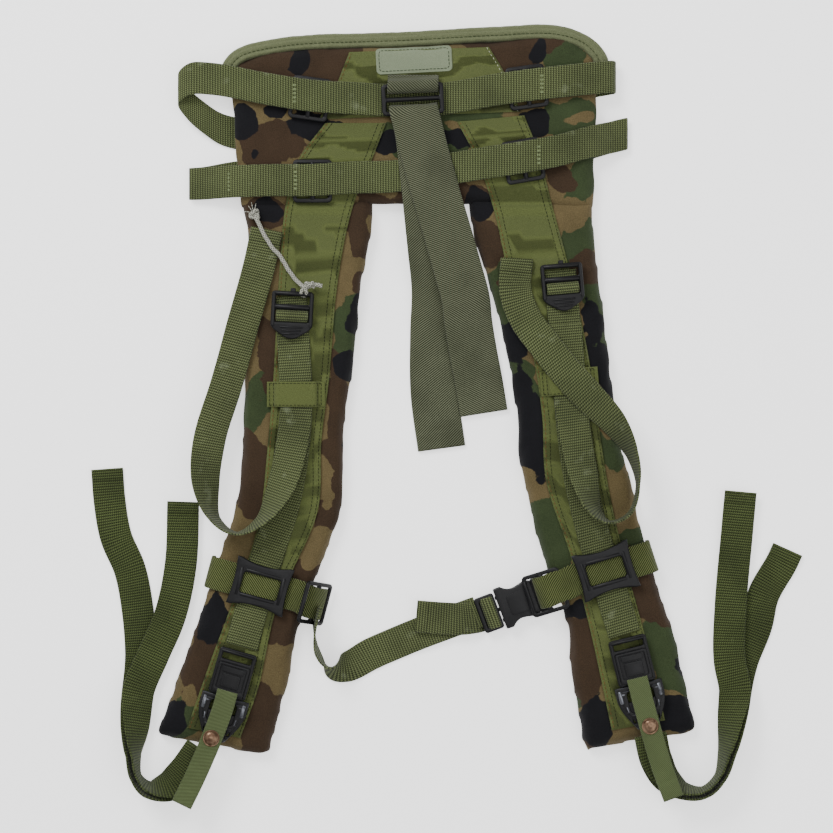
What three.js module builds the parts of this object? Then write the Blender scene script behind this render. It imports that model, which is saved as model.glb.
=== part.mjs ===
// Shoulder-strap harness of a field pack: two padded shoulder straps on a padded yoke, with its
// cross straps, sternum strap, quick-release buckles and loose webbing, laid flat on its back.
// Millimetres. +X is to the right, +Y towards the top of the yoke, +Z out of the front face.
// The floor is z = 0.

import * as THREE from "three";

// Standard narrow webbing, and the wide twill strap at the centre of the yoke.
const WEBBING_WIDTH = 25.4;
const WEBBING = 1.5;
const WIDE_STRAP = 40;
const TAPE_WIDTH = 18;
const GAP = 0.3;

// Padded pieces: height of the flat top, and the rounded rim given as [distance in, share of height].
const PAD_TOP = 14;
const YOKE_BOTTOM = 1.8;
const RIM = [[0, 0.36], [4, 0.75], [13, 1]];
const SEAM_Y = 164.8;

// Layers on top of the padding, each given by the height of its middle.
const SHEET = 1;
const SHEET_Z = PAD_TOP + GAP;
const WEBBING_Z = SHEET_Z + SHEET + GAP + WEBBING / 2;
const SECOND_Z = WEBBING_Z + WEBBING + GAP;
const THIRD_Z = SECOND_Z + WEBBING + GAP;
const HARDWARE_Z = WEBBING_Z + WEBBING / 2 + GAP;
const FLOOR_Z = 0.95;

// Hardware.
const BAR = 3.2;
const LOCK_WIDTH = 33;
const LOCK_LENGTH = 38;
const LOCK_DEPTH = 4;
const TRIGLIDE_WIDTH = 31;
const TRIGLIDE_LENGTH = 34;
const TRIGLIDE_DEPTH = 2.6;
const SLIDER_WIDTH = 46;
const SLIDER_LENGTH = 38;
const SLIDER_DEPTH = 3.6;
const RELEASE_WIDTH = 30;
const RELEASE_LENGTH = 37;
const RELEASE_BODY_WIDTH = 38;
const RELEASE_BODY_LENGTH = 36;
const RELEASE_DEPTH = 4;
const SNAP_RADIUS = 6;
const SOCKET_LENGTH = 30;
const SOCKET_WIDTH = 33;
const SOCKET_DEPTH = 10;
const SOCKET_WALL = 1.6;
const CORD_DIAMETER = 3.6;

const OLIVE = 0x6a7846;
const CAMOUFLAGE = 0x4d4a33;
const WEBBING_GREEN = 0x55643c;
const DARK_GREEN = 0x3e5030;
const TWILL_GREEN = 0x555f4b;
const BLACK = 0x28282d;
const LABEL_GREY = 0x828c73;
const CORD_GREY = 0x828278;
const COPPER = 0x785f4b;

const harness = new THREE.Group();

function fabric(color) {
  return new THREE.MeshStandardMaterial({ color, roughness: 0.92, metalness: 0 });
}

function plastic() {
  return new THREE.MeshStandardMaterial({ color: BLACK, roughness: 0.45, metalness: 0 });
}

function metal(color) {
  return new THREE.MeshStandardMaterial({ color, roughness: 0.35, metalness: 0.9 });
}

// Adds a named piece to a group and returns it.
function add(parent, name, geometry, material) {
  const piece = new THREE.Mesh(geometry, material);
  piece.name = name;
  parent.add(piece);
  return piece;
}

// A group standing at a point on the harness, turned about +Z by an angle in degrees.
function place(x, y, z, degrees) {
  const group = new THREE.Group();
  group.position.set(x, y, z);
  group.rotation.z = THREE.MathUtils.degToRad(degrees);
  harness.add(group);
  return group;
}

function vector(values) {
  return new THREE.Vector3(values[0], values[1], values[2] ?? 0);
}

// A smooth curve through hand-placed points.
function curve(points) {
  return new THREE.CatmullRomCurve3(points.map(vector), false, "centripetal");
}

// Moves every corner of a geometry by a rule taking and returning a Vector3.
function reshape(geometry, rule) {
  const corners = geometry.attributes.position;
  const corner = new THREE.Vector3();
  for (let i = 0; i < corners.count; i++) {
    corner.fromBufferAttribute(corners, i);
    const moved = rule(corner);
    corners.setXYZ(i, moved.x, moved.y, moved.z);
  }
  geometry.computeVertexNormals();
  return geometry;
}

// The direction across a strip at t: one direction for the whole strip, or one for each point.
function acrossAt(across, t) {
  const position = t * (across.length - 1);
  const index = Math.min(Math.floor(position), across.length - 2);
  if (across.length === 1) {
    return vector(across[0]);
  }
  return vector(across[index]).lerp(vector(across[index + 1]), position - index);
}

// A strip of webbing: a long box bent along the smooth curve through the points, or lifted off it.
function strip({ points, across, width = WEBBING_WIDTH, thickness = WEBBING, stepsPerPoint = 4, lift = 0 }) {
  const path = curve(points);
  const steps = stepsPerPoint * (points.length - 1);
  const geometry = new THREE.BoxGeometry(1, width, thickness, steps, 1, 1);
  return reshape(geometry, (corner) => {
    const t = corner.x + 0.5;
    const along = path.getTangent(t);
    const side = acrossAt(across, t);
    side.addScaledVector(along, -side.dot(along)).normalize();
    const up = new THREE.Vector3().crossVectors(along, side);
    return path.getPoint(t).addScaledVector(side, corner.y).addScaledVector(up, corner.z + lift);
  });
}

// A thin sheet between two edge curves, lying at one height.
function sheet(firstEdge, secondEdge, bottom, thickness, columns) {
  const first = curve(firstEdge);
  const second = curve(secondEdge);
  const geometry = new THREE.BoxGeometry(1, 1, 1, columns, 1, 1);
  return reshape(geometry, (corner) => {
    const t = corner.x + 0.5;
    const moved = first.getPoint(t).lerp(second.getPoint(t), corner.y + 0.5);
    moved.z = corner.z < 0 ? bottom : bottom + thickness;
    return moved;
  });
}

// The share of its full height that a padded piece has at a distance in from its rim.
function rimShare(distance) {
  for (let i = 1; i < RIM.length; i++) {
    const [inner, innerShare] = RIM[i];
    const [outer, outerShare] = RIM[i - 1];
    if (distance < inner) {
      return THREE.MathUtils.mapLinear(distance, outer, inner, outerShare, innerShare);
    }
  }
  return 1;
}

// The distance from the start of a row of stations: rim insets at both ends, even steps between.
function station(index, count, length) {
  const insets = RIM.map((pair) => pair[0]);
  const last = insets.length - 1;
  if (index <= last) {
    return insets[index];
  }
  if (index >= count - last) {
    return length - insets[count - index];
  }
  return THREE.MathUtils.mapLinear(index, last, count - last, insets[last], length - insets[last]);
}

// A padded piece between two edge curves: flat below, flat on top, and rounded over at the rim.
function padding(firstEdge, secondEdge, bottom, top, columns) {
  const first = curve(firstEdge);
  const second = curve(secondEdge);
  const rows = 6;
  const length = (first.getLength() + second.getLength()) / 2;
  const geometry = new THREE.BoxGeometry(1, 1, 1, columns, rows, 1);
  return reshape(geometry, (corner) => {
    const along = station(Math.round((corner.x + 0.5) * columns), columns, length);
    const start = first.getPointAt(along / length);
    const end = second.getPointAt(along / length);
    const width = start.distanceTo(end);
    const inward = station(Math.round((corner.y + 0.5) * rows), rows, width);
    const rim = Math.min(inward, width - inward, along, length - along);
    const moved = start.lerp(end, inward / width);
    moved.z = corner.z < 0 ? bottom : bottom + (top - bottom) * rimShare(rim);
    return moved;
  });
}

// A closed outline of straight sides.
function polygon(points) {
  return new THREE.Shape(points.map((point) => new THREE.Vector2(point[0], point[1])));
}

// A rectangle with rounded corners, centred on (x, y).
function roundedRectangle(width, height, radius, x = 0, y = 0) {
  const shape = new THREE.Shape();
  const right = x + width / 2 - radius;
  const left = x - width / 2 + radius;
  const top = y + height / 2 - radius;
  const bottom = y - height / 2 + radius;
  shape.absarc(right, top, radius, 0, Math.PI / 2);
  shape.absarc(left, top, radius, Math.PI / 2, Math.PI);
  shape.absarc(left, bottom, radius, Math.PI, Math.PI * 1.5);
  shape.absarc(right, bottom, radius, Math.PI * 1.5, Math.PI * 2);
  return shape;
}

// A flat plate of one outline with windows through it.
function plate(outline, windows, depth) {
  outline.holes.push(...windows);
  return new THREE.ExtrudeGeometry(outline, { depth, bevelEnabled: false, curveSegments: 3 });
}

// ---- Padding -----------------------------------------------------------------------------------

const BINDING_WIDTH = 8;
const YOKE_TOP_EDGE = [
  [-172, 270], [-160, 282], [-130, 290], [-33, 295], [40, 299], [85, 300], [106, 293], [119, 281],
];
const YOKE_BOTTOM_EDGE = [
  [-164, SEAM_Y + GAP], [-100, SEAM_Y + GAP], [-30, SEAM_Y + GAP], [40, SEAM_Y + GAP], [117, SEAM_Y + GAP],
];

function addYoke() {
  const yoke = padding(YOKE_BOTTOM_EDGE, YOKE_TOP_EDGE, YOKE_BOTTOM, PAD_TOP, 20);
  add(harness, "yoke_pad", yoke, fabric(CAMOUFLAGE));
  const offset = BINDING_WIDTH / 2 + GAP * 2;
  const binding = strip({
    points: [
      [-175, 274, 6.4], [-166, 285.4, 6.4], [-130, 294.6 + 0.4, 6.4], [-33, 295 + offset, 6.4],
      [40, 299 + offset, 6.4], [86, 300 + offset, 6.4], [110, 296.6, 6.4], [124, 283, 6.4],
    ],
    across: [
      [-0.8, 0.6, 0], [-0.5, 0.8, 0], [0, 1, 0], [0, 1, 0],
      [0, 1, 0], [0, 1, 0], [0.5, 0.8, 0], [0.8, 0.6, 0],
    ],
    width: BINDING_WIDTH,
    thickness: 9,
  });
  add(harness, "yoke_binding", binding, fabric(OLIVE));
  const panel = polygon([[-77, 287], [-92, 250], [-101, 234], [-4, 234], [58, 240], [45, 271], [33, 291]]);
  add(harness, "centre_panel", plate(panel, [], SHEET), fabric(OLIVE)).position.z = SHEET_Z;
  const label = place(-26, 281, SHEET_Z + SHEET + GAP, 3);
  add(label, "label_patch", plate(roundedRectangle(60, 21, 4), [], 0.7), fabric(LABEL_GREY));
}

function addPad(side, outerEdge, innerEdge) {
  const first = side === "left" ? outerEdge : innerEdge;
  const second = side === "left" ? innerEdge : outerEdge;
  add(harness, `${side}_pad`, padding(first, second, 0, PAD_TOP, 26), fabric(CAMOUFLAGE));
}

function addPads() {
  const leftOuter = [
    [-164, SEAM_Y], [-161, 150], [-161, 128], [-165, 60], [-167, 0], [-169, -49], [-176, -80],
    [-187, -115], [-199, -153], [-208, -182], [-222, -226], [-231, -254],
  ];
  const leftInner = [
    [-56, SEAM_Y], [-57, 142], [-62, 114], [-66, 75], [-71, 29], [-76, -10], [-77, -46],
    [-82, -82], [-95, -120], [-111, -164], [-123, -215], [-140, -270],
  ];
  const rightInner = [
    [16, SEAM_Y], [18, 145], [24, 123], [34, 83], [42, 44], [48, 10], [53, -40],
    [61, -75], [73, -120], [88, -160], [97, -215], [109, -266],
  ];
  const rightOuter = [
    [117, SEAM_Y], [118, 150], [122, 123], [130, 70], [138, 15], [143, -20], [152, -51],
    [161, -95], [172, -132], [183, -168], [194, -222], [199, -250],
  ];
  addPad("left", leftOuter, leftInner);
  addPad("right", rightOuter, rightInner);
}

// The olive facing that runs down the front of each pad from the yoke.
function addFacings() {
  const left = sheet(
    [[-96, 231], [-117, 202], [-127, 168], [-133, 101], [-137, 29], [-141, -19], [-149, -86], [-170, -149],
      [-186, -192], [-205, -246]],
    [[-48, 231], [-58, 205], [-74, 166], [-86, 107], [-93, 29], [-99, -19], [-102, -75], [-134, -150],
      [-149, -215], [-163, -254]],
    SHEET_Z, SHEET, 20,
  );
  add(harness, "left_facing", left, fabric(OLIVE));
  const right = sheet(
    [[8, 232], [22, 205], [36, 166], [50, 105], [67, 51], [75, 0], [78, -50], [97, -109],
      [112, -165], [130, -248]],
    [[61, 237], [72, 208], [83, 166], [98, 110], [111, 50], [120, -10], [128, -60], [143, -125],
      [156, -173], [172, -240]],
    SHEET_Z, SHEET, 20,
  );
  add(harness, "right_facing", right, fabric(OLIVE));
}

// ---- Straps across the yoke --------------------------------------------------------------------

// A three-bar slide for webbing, lying in its own XY plane with its bars along Y.
function triglide() {
  const window = (TRIGLIDE_WIDTH - 3 * BAR) / 2;
  const holes = [-1, 1].map((sign) => roundedRectangle(
    window, TRIGLIDE_LENGTH - 2 * BAR, 1.2, (sign * (window + BAR)) / 2, 0,
  ));
  return plate(roundedRectangle(TRIGLIDE_WIDTH, TRIGLIDE_LENGTH, 3.5), holes, TRIGLIDE_DEPTH);
}

function addTriglide(name, x, y, degrees) {
  const slide = place(x, y, HARDWARE_Z - WEBBING, degrees);
  add(slide, name, triglide(), plastic());
}

// Each cross strap runs over the front of the yoke, folds round past its sides and returns behind.
function addCrossStraps() {
  const over = SECOND_Z + WEBBING + GAP * 3;
  const upper = strip({
    points: [
      [-14, 236, FLOOR_Z], [-80, 226, FLOOR_Z], [-140, 222, FLOOR_Z], [-177, 227, 1.3],
      [-193, 236.5, 5.8], [-206, 248, 8],
      [-212, 258, 11.4], [-203, 265.5, 15.6], [-185, 265.5, 16.8], [-140, 257, over - 1], [-108, 252, over],
      [-76, 250, over - 1], [-50, 249, WEBBING_Z + 0.3], [-26, 249, WEBBING_Z + 0.1],
      [-2, 250, WEBBING_Z + 0.3],
      [38, 256.5, over - 1], [63, 260, over], [88, 263, over - 1], [118, 266.5, WEBBING_Z], [131, 268, 12],
      [133, 268, 6], [125, 267, 1.6], [108, 264, FLOOR_Z], [60, 256, FLOOR_Z], [2, 240, FLOOR_Z],
    ],
    across: [[0, 1, 0]],
    stepsPerPoint: 3,
  });
  add(harness, "upper_cross_strap", upper, fabric(WEBBING_GREEN));
  const lower = strip({
    points: [
      [-34, 192, FLOOR_Z], [-100, 192, FLOOR_Z], [-165, 190, FLOOR_Z], [-194, 185, 1.4],
      [-204, 184, 3.8], [-194, 184, 6],
      [-168, 185, 14.4], [-140, 185.5, over - 1], [-106, 185.5, over], [-74, 187.5, over - 1],
      [-40, 189, WEBBING_Z],
      [0, 194.5, WEBBING_Z], [32, 199.5, over - 1], [60, 203.5, over], [86, 208.5, over - 1],
      [112, 216, 14.8],
      [132, 221, 7], [143, 224, 4], [133, 222, 1.7], [112, 216, FLOOR_Z], [40, 202, FLOOR_Z],
      [-18, 193, FLOOR_Z],
    ],
    across: [[0, 1, 0]],
    stepsPerPoint: 3,
  });
  add(harness, "lower_cross_strap", lower, fabric(WEBBING_GREEN));
  addTriglide("upper_left_triglide", -108, 250, -8);
  addTriglide("upper_right_triglide", 63, 259, 8);
  addTriglide("lower_left_triglide", -106, 185, 0);
  addTriglide("lower_right_triglide", 60, 201, 10);
}

// The wide twill strap hangs from a two-slot slide, which a short loop anchors to the yoke.
function addCentreStrap() {
  const slideZ = SECOND_Z + WEBBING + GAP * 2;
  const slideY = 249;
  const windowHeight = 7.6;
  const windows = [-1, 1].map((sign) => roundedRectangle(
    WIDE_STRAP + 2, windowHeight, 1, 0, (sign * (windowHeight + BAR)) / 2,
  ));
  const rim = roundedRectangle(WIDE_STRAP + 9, 2 * windowHeight + 3 * BAR, 3.5);
  const frame = plate(rim, windows, BAR);
  add(place(-27, slideY, slideZ, 3), "centre_slide", frame, plastic());
  const top = slideZ + BAR + WEBBING / 2 + GAP * 2;
  const below = slideZ - WEBBING / 2 - GAP;
  const anchor = strip({
    points: [
      [-26.5, 268.4, WEBBING_Z + 0.7], [-26.6, 266, 18.6], [-26.8, 262, top - 0.4], [-27, 257, top],
      [-27, 254.2, slideZ + 1], [-27, 256.6, below + 0.1], [-27, 260, below],
    ],
    across: [[-1, -0.05, 0]],
    width: WIDE_STRAP,
  });
  add(harness, "anchor_loop", anchor, fabric(OLIVE));
  const strap = strip({
    points: [
      [-4, -26, FLOOR_Z], [-10, 20, FLOOR_Z], [-10, 66, 1.2], [-9, 100, 5], [-12, 132, 13], [-15, 160, 18],
      [-18, 190, THIRD_Z - 1.8], [-22, 222, below], [-26, 240, below + 0.1], [-26.8, 244, slideZ + 1],
      [-26.5, 241, top], [-24, 232, top], [-17, 205, 21], [-8, 172, 20.6], [1, 142, 17.2],
      [9, 114, 14], [15, 92, 11.4],
      [17, 74, 7.6], [21, 50, 4], [26, 24, 3.2], [29.5, 2, 3.2],
    ],
    across: [
      [-1, 0, 0], [-1, 0, 0], [-1, 0, 0], [-1, 0, 0], [-1, 0, 0], [-1, -0.1, 0], [-1, -0.1, 0],
      [-1, -0.05, 0], [-1, -0.05, 0],
      [-1, -0.05, 0], [-1, -0.05, 0], [-1, -0.2, 0], [-1, -0.3, 0], [-1, -0.3, 0], [-1, -0.3, 0],
      [-1, -0.3, 0], [-1, -0.3, 0],
      [-1, -0.15, 0], [-1, -0.2, 0], [-1, -0.2, 0], [-1, -0.2, 0],
    ],
    width: WIDE_STRAP - 2,
    stepsPerPoint: 3,
  });
  add(harness, "centre_strap", strap, fabric(TWILL_GREEN));
}

// ---- Load straps down the front of the pads ----------------------------------------------------

// A ladder lock in its own XY plane: top bar, middle bar, lower bar and a rounded grip tab.
function lockPlate() {
  const half = LOCK_WIDTH / 2;
  const outline = new THREE.Shape();
  outline.moveTo(-half + 3, 18);
  outline.lineTo(half - 3, 18);
  outline.quadraticCurveTo(half, 18, half, 15);
  outline.lineTo(half, -9);
  outline.quadraticCurveTo(half - 2, -13, half - 8, -16);
  outline.quadraticCurveTo(0, 2 - LOCK_LENGTH / 2 - 6, -half + 8, -16);
  outline.quadraticCurveTo(-half + 2, -13, -half, -9);
  outline.lineTo(-half, 15);
  outline.quadraticCurveTo(-half, 18, -half + 3, 18);
  const windows = [
    roundedRectangle(LOCK_WIDTH - 2 * BAR, 6.6, 1, 0, 11),
    roundedRectangle(LOCK_WIDTH - 2 * BAR, 10, 1, 0, -1.4),
  ];
  return plate(outline, windows, LOCK_DEPTH);
}

function addLadderLock(side, x, y, degrees) {
  const lock = place(x, y, HARDWARE_Z, degrees);
  add(lock, `${side}_ladder_lock`, lockPlate(), plastic());
  const wrap = strip({
    points: [[0, -5.6, 1.2], [0, -3.6, 3.6], [0, -1.4, 4.4], [0, 0.8, 3.6], [0, 2.8, 1.2]],
    across: [[1, 0, 0]],
    width: WEBBING_WIDTH,
    thickness: 1.2,
  });
  add(lock, `${side}_lock_wrap`, wrap, fabric(WEBBING_GREEN));
}

// A sewn keeper bridging the webbing that runs under it, turned about +Z.
function addKeeper(side, x, y, degrees) {
  const low = SHEET_Z + SHEET + GAP + 0.5;
  const high = THIRD_Z - WEBBING / 2 + 0.5;
  const keeper = place(x, y, 0, degrees);
  const bridge = strip({
    points: [
      [-23, 0, low], [-18, 0, low], [-15.4, 0, high - 0.6], [-12, 0, high], [12, 0, high],
      [15.4, 0, high - 0.6], [18, 0, low], [23, 0, low],
    ],
    across: [[0, 1, 0]],
    width: 20,
    thickness: 1,
    stepsPerPoint: 2,
  });
  add(keeper, `${side}_keeper`, bridge, fabric(OLIVE));
}

function addLoadStraps() {
  const leftLoad = strip({
    points: [
      [-123, 94, WEBBING_Z], [-121, 60, WEBBING_Z], [-119, 20, WEBBING_Z], [-121, -25, WEBBING_Z],
      [-129, -70, WEBBING_Z],
      [-140, -105, WEBBING_Z], [-151, -142, WEBBING_Z], [-162, -182, WEBBING_Z],
    ],
    across: [[1, 0, 0]],
  });
  add(harness, "left_load_webbing", leftLoad, fabric(WEBBING_GREEN));
  const rightLoad = strip({
    points: [
      [89, 115, WEBBING_Z], [92, 80, WEBBING_Z], [95, 40, WEBBING_Z], [98, 0, WEBBING_Z],
      [104, -45, WEBBING_Z],
      [114, -88, WEBBING_Z], [126, -128, WEBBING_Z], [140, -172, WEBBING_Z],
    ],
    across: [[1, 0, 0]],
  });
  add(harness, "right_load_webbing", rightLoad, fabric(WEBBING_GREEN));
  addLadderLock("left", -122, 80, -3);
  addLadderLock("right", 91, 102, 5);
  addKeeper("left", -119, 17, 0);
  addKeeper("right", 96.5, 27, 5);
}

// The free ends of the load webbing leave the keepers, loop round on edge and lie back up the pads.
function addLooseTails() {
  const left = strip({
    points: [
      [-121, 56, SECOND_Z], [-119.5, 30, SECOND_Z], [-119, 4, SECOND_Z], [-122, -22, 19.6],
      [-130, -54, 23], [-146, -82, 27.5],
      [-166, -92, 27.5], [-183, -80, 24.5], [-190, -54, 20], [-187, -18, 17.4], [-174, 24, 17.2],
      [-162, 68, 17.2],
      [-148, 118, 17.2], [-142, 147, 17.2],
    ],
    across: [
      [1, 0, 0], [1, 0, 0], [1, 0, 0], [1, 0, 0.1], [0.9, -0.2, 0.45], [0.25, -0.25, 1],
      [0, 0, 1], [-0.2, -0.1, 1], [-0.8, 0, 0.6], [-1, -0.1, 0.1], [-1, 0.2, 0], [-1, 0.2, 0],
      [-1, 0.2, 0], [-1, 0.2, 0],
    ],
  });
  add(harness, "left_loose_tail", left, fabric(WEBBING_GREEN));
  const right = strip({
    points: [
      [93, 72, SECOND_Z], [95.5, 40, SECOND_Z], [97, 12, SECOND_Z], [101, -16, 20], [107, -46, 26],
      [115, -73, 31],
      [128, -83, 31], [143, -76, 29.6], [149.5, -54, 27.5], [145, -30, 26.5], [131, -6, 25], [112, 14, 23.4],
      [94, 34, 22.6], [78, 54, 21.4], [62, 76, 18.6], [54, 98, 17.4], [55, 124, 17.4],
    ],
    across: [
      [1, 0, 0], [1, 0, 0], [1, 0, 0], [1, 0, -0.1], [0.9, 0.2, -0.4], [0.4, 0.3, -1],
      [0, 0, -1], [0, 0, -1], [0, 0, -1], [-0.3, 0, -0.9], [-0.6, -0.4, -0.6], [-0.7, -0.6, -0.2],
      [-0.8, -0.6, 0], [-0.8, -0.6, 0], [-0.8, -0.6, 0], [-1, -0.2, 0], [-1, 0, 0],
    ],
  });
  add(harness, "right_loose_tail", right, fabric(WEBBING_GREEN));
}

// A braided pull cord tied to the top bar of the left ladder lock.
function addPullCord() {
  const z = HARDWARE_Z + LOCK_DEPTH + GAP + CORD_DIAMETER / 2;
  const route = curve([
    [-152, 160, z], [-147, 149, z], [-140, 136, z], [-131, 125, z], [-124, 114, z], [-117, 105, z],
    [-114.5, 98.5, z], [-112, 101, z], [-106, 103, z], [-98, 102, z],
  ]);
  const section = new THREE.Shape();
  section.absarc(0, 0, CORD_DIAMETER / 2, 0, Math.PI * 2);
  const cord = new THREE.ExtrudeGeometry(section, {
    steps: 12,
    curveSegments: 4,
    extrudePath: route,
    bevelEnabled: false,
  });
  add(harness, "pull_cord", cord, fabric(CORD_GREY));
}

// ---- Sternum strap -----------------------------------------------------------------------------

// The wide slider that carries the sternum strap along the load webbing.
function sliderPlate() {
  const half = SLIDER_WIDTH / 2;
  const top = SLIDER_LENGTH / 2;
  const outline = new THREE.Shape();
  outline.moveTo(-half, top);
  outline.quadraticCurveTo(0, top - 7, half, top);
  outline.lineTo(half, -top);
  outline.quadraticCurveTo(0, 7 - top, -half, -top);
  outline.lineTo(-half, top);
  return plate(outline, [roundedRectangle(SLIDER_WIDTH - 16, 16.5, 2)], SLIDER_DEPTH);
}

function addSlider(side, x, y, degrees, bandEnd, insideEnd) {
  const slider = place(x, y, 0, degrees);
  const carriage = add(slider, `${side}_sternum_slider`, sliderPlate(), plastic());
  carriage.position.z = HARDWARE_Z;
  const outward = side === "left" ? -1 : 1;
  const band = strip({
    points: [[outward * 15, 0, WEBBING_Z], [outward * 24, 0, WEBBING_Z], [outward * bandEnd, 0, WEBBING_Z]],
    across: [[0, outward, 0]],
  });
  add(slider, `${side}_sternum_band`, band, fabric(WEBBING_GREEN));
  const inside = strip({
    points: [
      [-outward * 15, 0, WEBBING_Z], [-outward * 24, 0, WEBBING_Z], [-outward * insideEnd, 0, WEBBING_Z],
    ],
    across: [[0, -outward, 0]],
  });
  add(slider, `${side}_sternum_lead`, inside, fabric(WEBBING_GREEN));
}

// The side-release buckle in its own XY plane: the socket opens towards -X.
function socketPiece() {
  const outer = roundedRectangle(SOCKET_WIDTH, SOCKET_DEPTH, 2.5);
  const cavity = roundedRectangle(SOCKET_WIDTH - 2 * SOCKET_WALL, SOCKET_DEPTH - 2 * SOCKET_WALL, 1.5);
  const sleeve = plate(outer, [cavity], SOCKET_LENGTH);
  sleeve.rotateX(Math.PI / 2);
  sleeve.rotateZ(Math.PI / 2);
  return sleeve;
}

function addSideRelease() {
  const buckle = place(56, -148, SOCKET_DEPTH / 2 + 0.1, 20.5);
  const socket = add(buckle, "buckle_socket", socketPiece(), plastic());
  socket.position.x = -SOCKET_LENGTH / 2;
  const slotWidth = SOCKET_WIDTH - 11;
  const tail = plate(roundedRectangle(9, SOCKET_WIDTH - 5, 2), [roundedRectangle(3.4, slotWidth, 1)], 4);
  const plugSlot = roundedRectangle(4, slotWidth, 1, -2.5, 0);
  const plug = plate(roundedRectangle(16, SOCKET_WIDTH - 4, 2), [plugSlot], 5);
  const plugPiece = add(buckle, "buckle_plug", plug, plastic());
  plugPiece.position.set(-SOCKET_LENGTH / 2 - 9, 0, -2.5);
  const tailPiece = add(buckle, "buckle_socket_bar", tail, plastic());
  tailPiece.position.set(SOCKET_LENGTH / 2 + 5.2, 0, -2);
  for (const sign of [-1, 1]) {
    const outline = polygon([
      [0, 0], [20, 0], [22.5, sign * 2.4], [17, sign * 4.4], [14, sign * 2.6], [0, sign * 2.6],
    ]);
    const prong = plate(outline, [], 4.4);
    const piece = add(buckle, sign < 0 ? "lower_prong" : "upper_prong", prong, plastic());
    piece.position.set(-SOCKET_LENGTH / 2 - 0.7, sign * 8, -2.2);
  }
}

function addSternumStrap() {
  addSlider("left", -147, -134, -15, 41, 26);
  addSlider("right", 125, -122, 17, 40, 25);
  const leftSlide = place(-99.5, -149, 9.6, -15);
  const leftTriglide = add(leftSlide, "left_triglide", triglide(), plastic());
  leftTriglide.rotation.y = THREE.MathUtils.degToRad(52);
  leftTriglide.position.x = -6;
  leftTriglide.position.z = 6;
  const rightSlide = place(78, -139, 14.8, 18);
  const rightTriglide = add(rightSlide, "right_triglide", triglide(), plastic());
  rightTriglide.rotation.y = THREE.MathUtils.degToRad(-11);
  const slack = strip({
    points: [
      [-105, -167, 13.6], [-104.5, -176, 13.6], [-102, -187, 13.6], [-93, -199, 11.6], [-78, -198.5, 5],
      [-60, -189, FLOOR_Z + 0.4], [-38, -179.6, FLOOR_Z],
    ],
    across: [
      [0.2, 0, 1], [0.1, 0, 1], [-0.1, 0, 1], [-0.3, 0.4, 1], [-0.5, 1, 0.3], [-0.45, 1, 0], [-0.45, 1, 0],
    ],
  });
  add(harness, "sternum_webbing", slack, fabric(WEBBING_GREEN));
  const plugWebbing = strip({
    points: [[-34, -178, 3.3], [-21, -172.5, 3.2], [0, -164.6, 3.3], [18, -158, 4]],
    across: [[-0.45, 1, 0], [-0.4, 1, 0], [-0.37, 1, 0], [-0.37, 1, 0]],
  });
  add(harness, "plug_webbing", plugWebbing, fabric(WEBBING_GREEN));
  const fold = strip({
    points: [[17, -152.5, 6.4], [4, -155, 5.8], [-20, -157, 5.4]],
    across: [[0.3, -1, 0]],
  });
  add(harness, "plug_tail", fold, fabric(WEBBING_GREEN));
}

// ---- Quick-release buckles ---------------------------------------------------------------------

// Upper frame, hinged latch plate with its pull tape, and the lower body that comes away.
function addQuickRelease(side, x, y, degrees, tapePoints) {
  const release = place(x, y, HARDWARE_Z, degrees);
  const windows = [
    roundedRectangle(RELEASE_WIDTH - 2 * BAR, 5, 1, 0, -6),
    roundedRectangle(RELEASE_WIDTH - 2 * BAR, 20, 1.5, 0, -22),
  ];
  const outline = roundedRectangle(RELEASE_WIDTH, RELEASE_LENGTH, 2.5, 0, -RELEASE_LENGTH / 2);
  add(release, `${side}_release_frame`, plate(outline, windows, RELEASE_DEPTH), plastic());
  const latch = plate(roundedRectangle(RELEASE_WIDTH - 3, 25, 2, 0, -23), [], 2.2);
  add(release, `${side}_release_latch`, latch, plastic()).position.z = RELEASE_DEPTH + GAP;
  const half = RELEASE_BODY_WIDTH / 2;
  const bottom = -RELEASE_LENGTH - RELEASE_BODY_LENGTH;
  const body = polygon([
    [-half, -RELEASE_LENGTH - 0.5], [-half, -RELEASE_LENGTH - 14], [-half + 5, bottom + 10],
    [-half + 11, bottom],
    [half - 11, bottom], [half - 5, bottom + 10], [half, -RELEASE_LENGTH - 14], [half, -RELEASE_LENGTH - 0.5],
  ]);
  const slot = roundedRectangle(WEBBING_WIDTH - 5, 4, 1, 0, bottom + 8);
  add(release, `${side}_release_body`, plate(body, [slot], RELEASE_DEPTH + 0.6), plastic());
  const tapeZ = RELEASE_DEPTH + GAP + 2.2 + GAP + 0.7;
  const tape = strip({
    points: tapePoints.map((point) => [point[0], point[1], tapeZ + (point[2] ?? 0)]),
    across: [[1, 0, 0]],
    width: TAPE_WIDTH,
    thickness: 1.4,
    stepsPerPoint: 3,
  });
  add(release, `${side}_pull_tape`, tape, fabric(TWILL_GREEN));
  const profile = [[0, 0], [SNAP_RADIUS, 0], [SNAP_RADIUS, 1], [SNAP_RADIUS * 0.7, 2.2], [0, 2.8]];
  const cap = new THREE.LatheGeometry(profile.map((pair) => new THREE.Vector2(pair[0], pair[1])), 12);
  cap.rotateX(Math.PI / 2);
  const snapY = tapePoints[2][1] + 5;
  add(release, `${side}_snap_cap`, cap, metal(COPPER)).position.set(tapePoints[2][0], snapY, tapeZ + 1.7);
}

// Directions across a strip whose points end with the angle that it stands up from level, in degrees.
function standing(points) {
  const path = curve(points);
  return points.map((point, index) => {
    const heading = path.getTangent(index / (points.length - 1));
    const angle = THREE.MathUtils.degToRad(point[3] ?? 0);
    return [-heading.y * Math.cos(angle), heading.x * Math.cos(angle), Math.sin(angle)];
  });
}

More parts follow.
